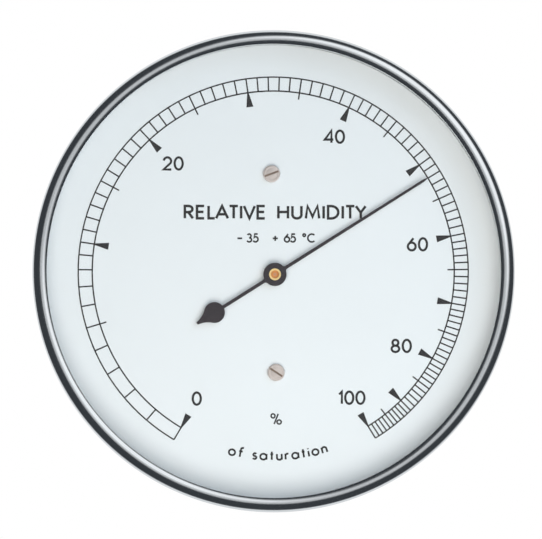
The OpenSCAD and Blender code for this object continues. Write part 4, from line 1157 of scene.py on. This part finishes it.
class HYGRO_OT_stage(HygroOperator, bpy.types.Operator):
    """Set the pale floor, the soft lamps, the white background and the camera"""
    bl_idname = "hygro.stage"
    bl_label = "Stage"

    def execute(self, context):
        scene = context.scene
        s = scene.hygro_stage
        scene.view_settings.view_transform = "Standard"
        self.floor()
        self.tent()
        self.world(scene, s.room)
        for name, setting in LAMPS.items():
            self.lamp(name, getattr(s, name), *setting)
        self.camera(scene, s)
        return {"FINISHED"}

    def floor(self):
        mesh = bpy.data.meshes.new("floor")
        # In metres, far below what the camera sees
        far, low = 3.0, -0.35
        mesh.from_pydata([(-far, -far, low), (far, -far, low), (far, far, low), (-far, far, low)],
                         [], [(0, 1, 2, 3)])
        mesh.materials.append(floor_paper())
        floor = in_scene("floor", mesh)
        floor.visible_glossy = False

    def tent(self):
        work = bmesh.new()
        bmesh.ops.create_icosphere(work, subdivisions=5, radius=1.0)
        mesh = bpy.data.meshes.new("tent")
        work.to_mesh(mesh)
        work.free()
        mesh.materials.append(tent_cloth())
        tent = in_scene("tent", mesh)
        for kind in ("camera", "diffuse", "shadow", "volume_scatter"):
            setattr(tent, "visible_" + kind, False)

    def world(self, scene, room):
        world = bpy.data.worlds.new("white_room")
        world.use_nodes = True
        tree = world.node_tree
        tree.nodes.clear()
        seen = seen_rays(tree)
        strength = add(tree, "ShaderNodeMapRange", Value=seen, _3=room, _4=1.0)
        # The light that reaches the object is a little warmer than the white that shows
        tint = add(tree, "ShaderNodeMix", data_type="RGBA", Factor=seen, _6=(1.02, 1.0, 0.97, 1),
                   _7=(1, 1, 1, 1))
        paper = add(tree, "ShaderNodeBackground", Strength=strength, Color=tint.outputs[2])
        add(tree, "ShaderNodeOutputWorld", Surface=paper)
        scene.world = world

    def lamp(self, name, power, size, way, far, tint):
        light = bpy.data.lights.new(name, "AREA")
        light.energy = power
        light.color = tint
        light.shape = "DISK"
        light.size = size
        made = in_scene(name, light)
        made.location = way * far
        made.rotation_euler = way.to_track_quat("Z", "Y").to_euler()
        made.visible_glossy = False
        made.visible_transmission = False

    def camera(self, scene, s):
        rim = Vector((0, -RIM_HEIGHT, 0))
        way = Vector((-math.sin(s.to_the_left) * math.cos(s.below),
                      -math.cos(s.to_the_left) * math.cos(s.below), -math.sin(s.below)))
        turn = way.to_track_quat("Z", "Y")
        pixel = s.frame_width / PHOTO_WIDTH
        right, up = turn @ Vector((1, 0, 0)), turn @ Vector((0, 1, 0))
        aim = rim - right * (RIM_RIGHT * pixel) + up * (RIM_BELOW * pixel)
        lens = bpy.data.cameras.new("camera")
        lens.sensor_width = SENSOR
        lens.lens = SENSOR * s.distance / s.frame_width
        lens.clip_start = 0.01
        made = in_scene("camera", lens)
        made.location = aim + way * s.distance
        made.rotation_euler = turn.to_euler()
        scene.camera = made


class HYGRO_PT_pieces(bpy.types.Panel):
    """Lists the pieces of the hygrometer"""
    bl_idname = "HYGRO_PT_pieces"
    bl_label = "Hygrometer"
    bl_space_type = "VIEW_3D"
    bl_region_type = "UI"
    bl_category = "Hygrometer"

    def draw(self, context):
        for made in OPERATORS:
            self.layout.operator(made.bl_idname)
        for group in GROUPS:
            held = getattr(context.scene, group)
            box = self.layout.box()
            for name in held.__annotations__:
                box.prop(held, name)


OPERATORS = (HYGRO_OT_stage, HYGRO_OT_finish_solids, HYGRO_OT_bezel, HYGRO_OT_lettering,
             HYGRO_OT_dial_screws, HYGRO_OT_pointer, HYGRO_OT_hair, HYGRO_OT_tension_spring)
GROUPS = {"hygro_bezel": HygroBezelSizes, "hygro_dial": HygroDialSizes,
          "hygro_pointer": HygroPointerSizes, "hygro_movement": HygroMovementSizes,
          "hygro_stage": HygroStageSizes, "hygro_colours": HygroColours}


def register():
    for made in (*GROUPS.values(), *OPERATORS, HYGRO_PT_pieces):
        bpy.utils.register_class(made)
    for name, group in GROUPS.items():
        setattr(bpy.types.Scene, name, PointerProperty(type=group))


def unregister():
    for name in GROUPS:
        delattr(bpy.types.Scene, name)
    for made in (HYGRO_PT_pieces, *reversed(OPERATORS), *reversed(GROUPS.values())):
        bpy.utils.unregister_class(made)


def main():
    register()
    bpy.ops.hygro.stage()
    bpy.ops.hygro.finish_solids()
    bpy.ops.hygro.bezel()
    bpy.ops.hygro.lettering()
    bpy.ops.hygro.dial_screws()
    bpy.ops.hygro.pointer()
    bpy.ops.hygro.hair()
    bpy.ops.hygro.tension_spring()


if __name__ == "__main__":
    main()
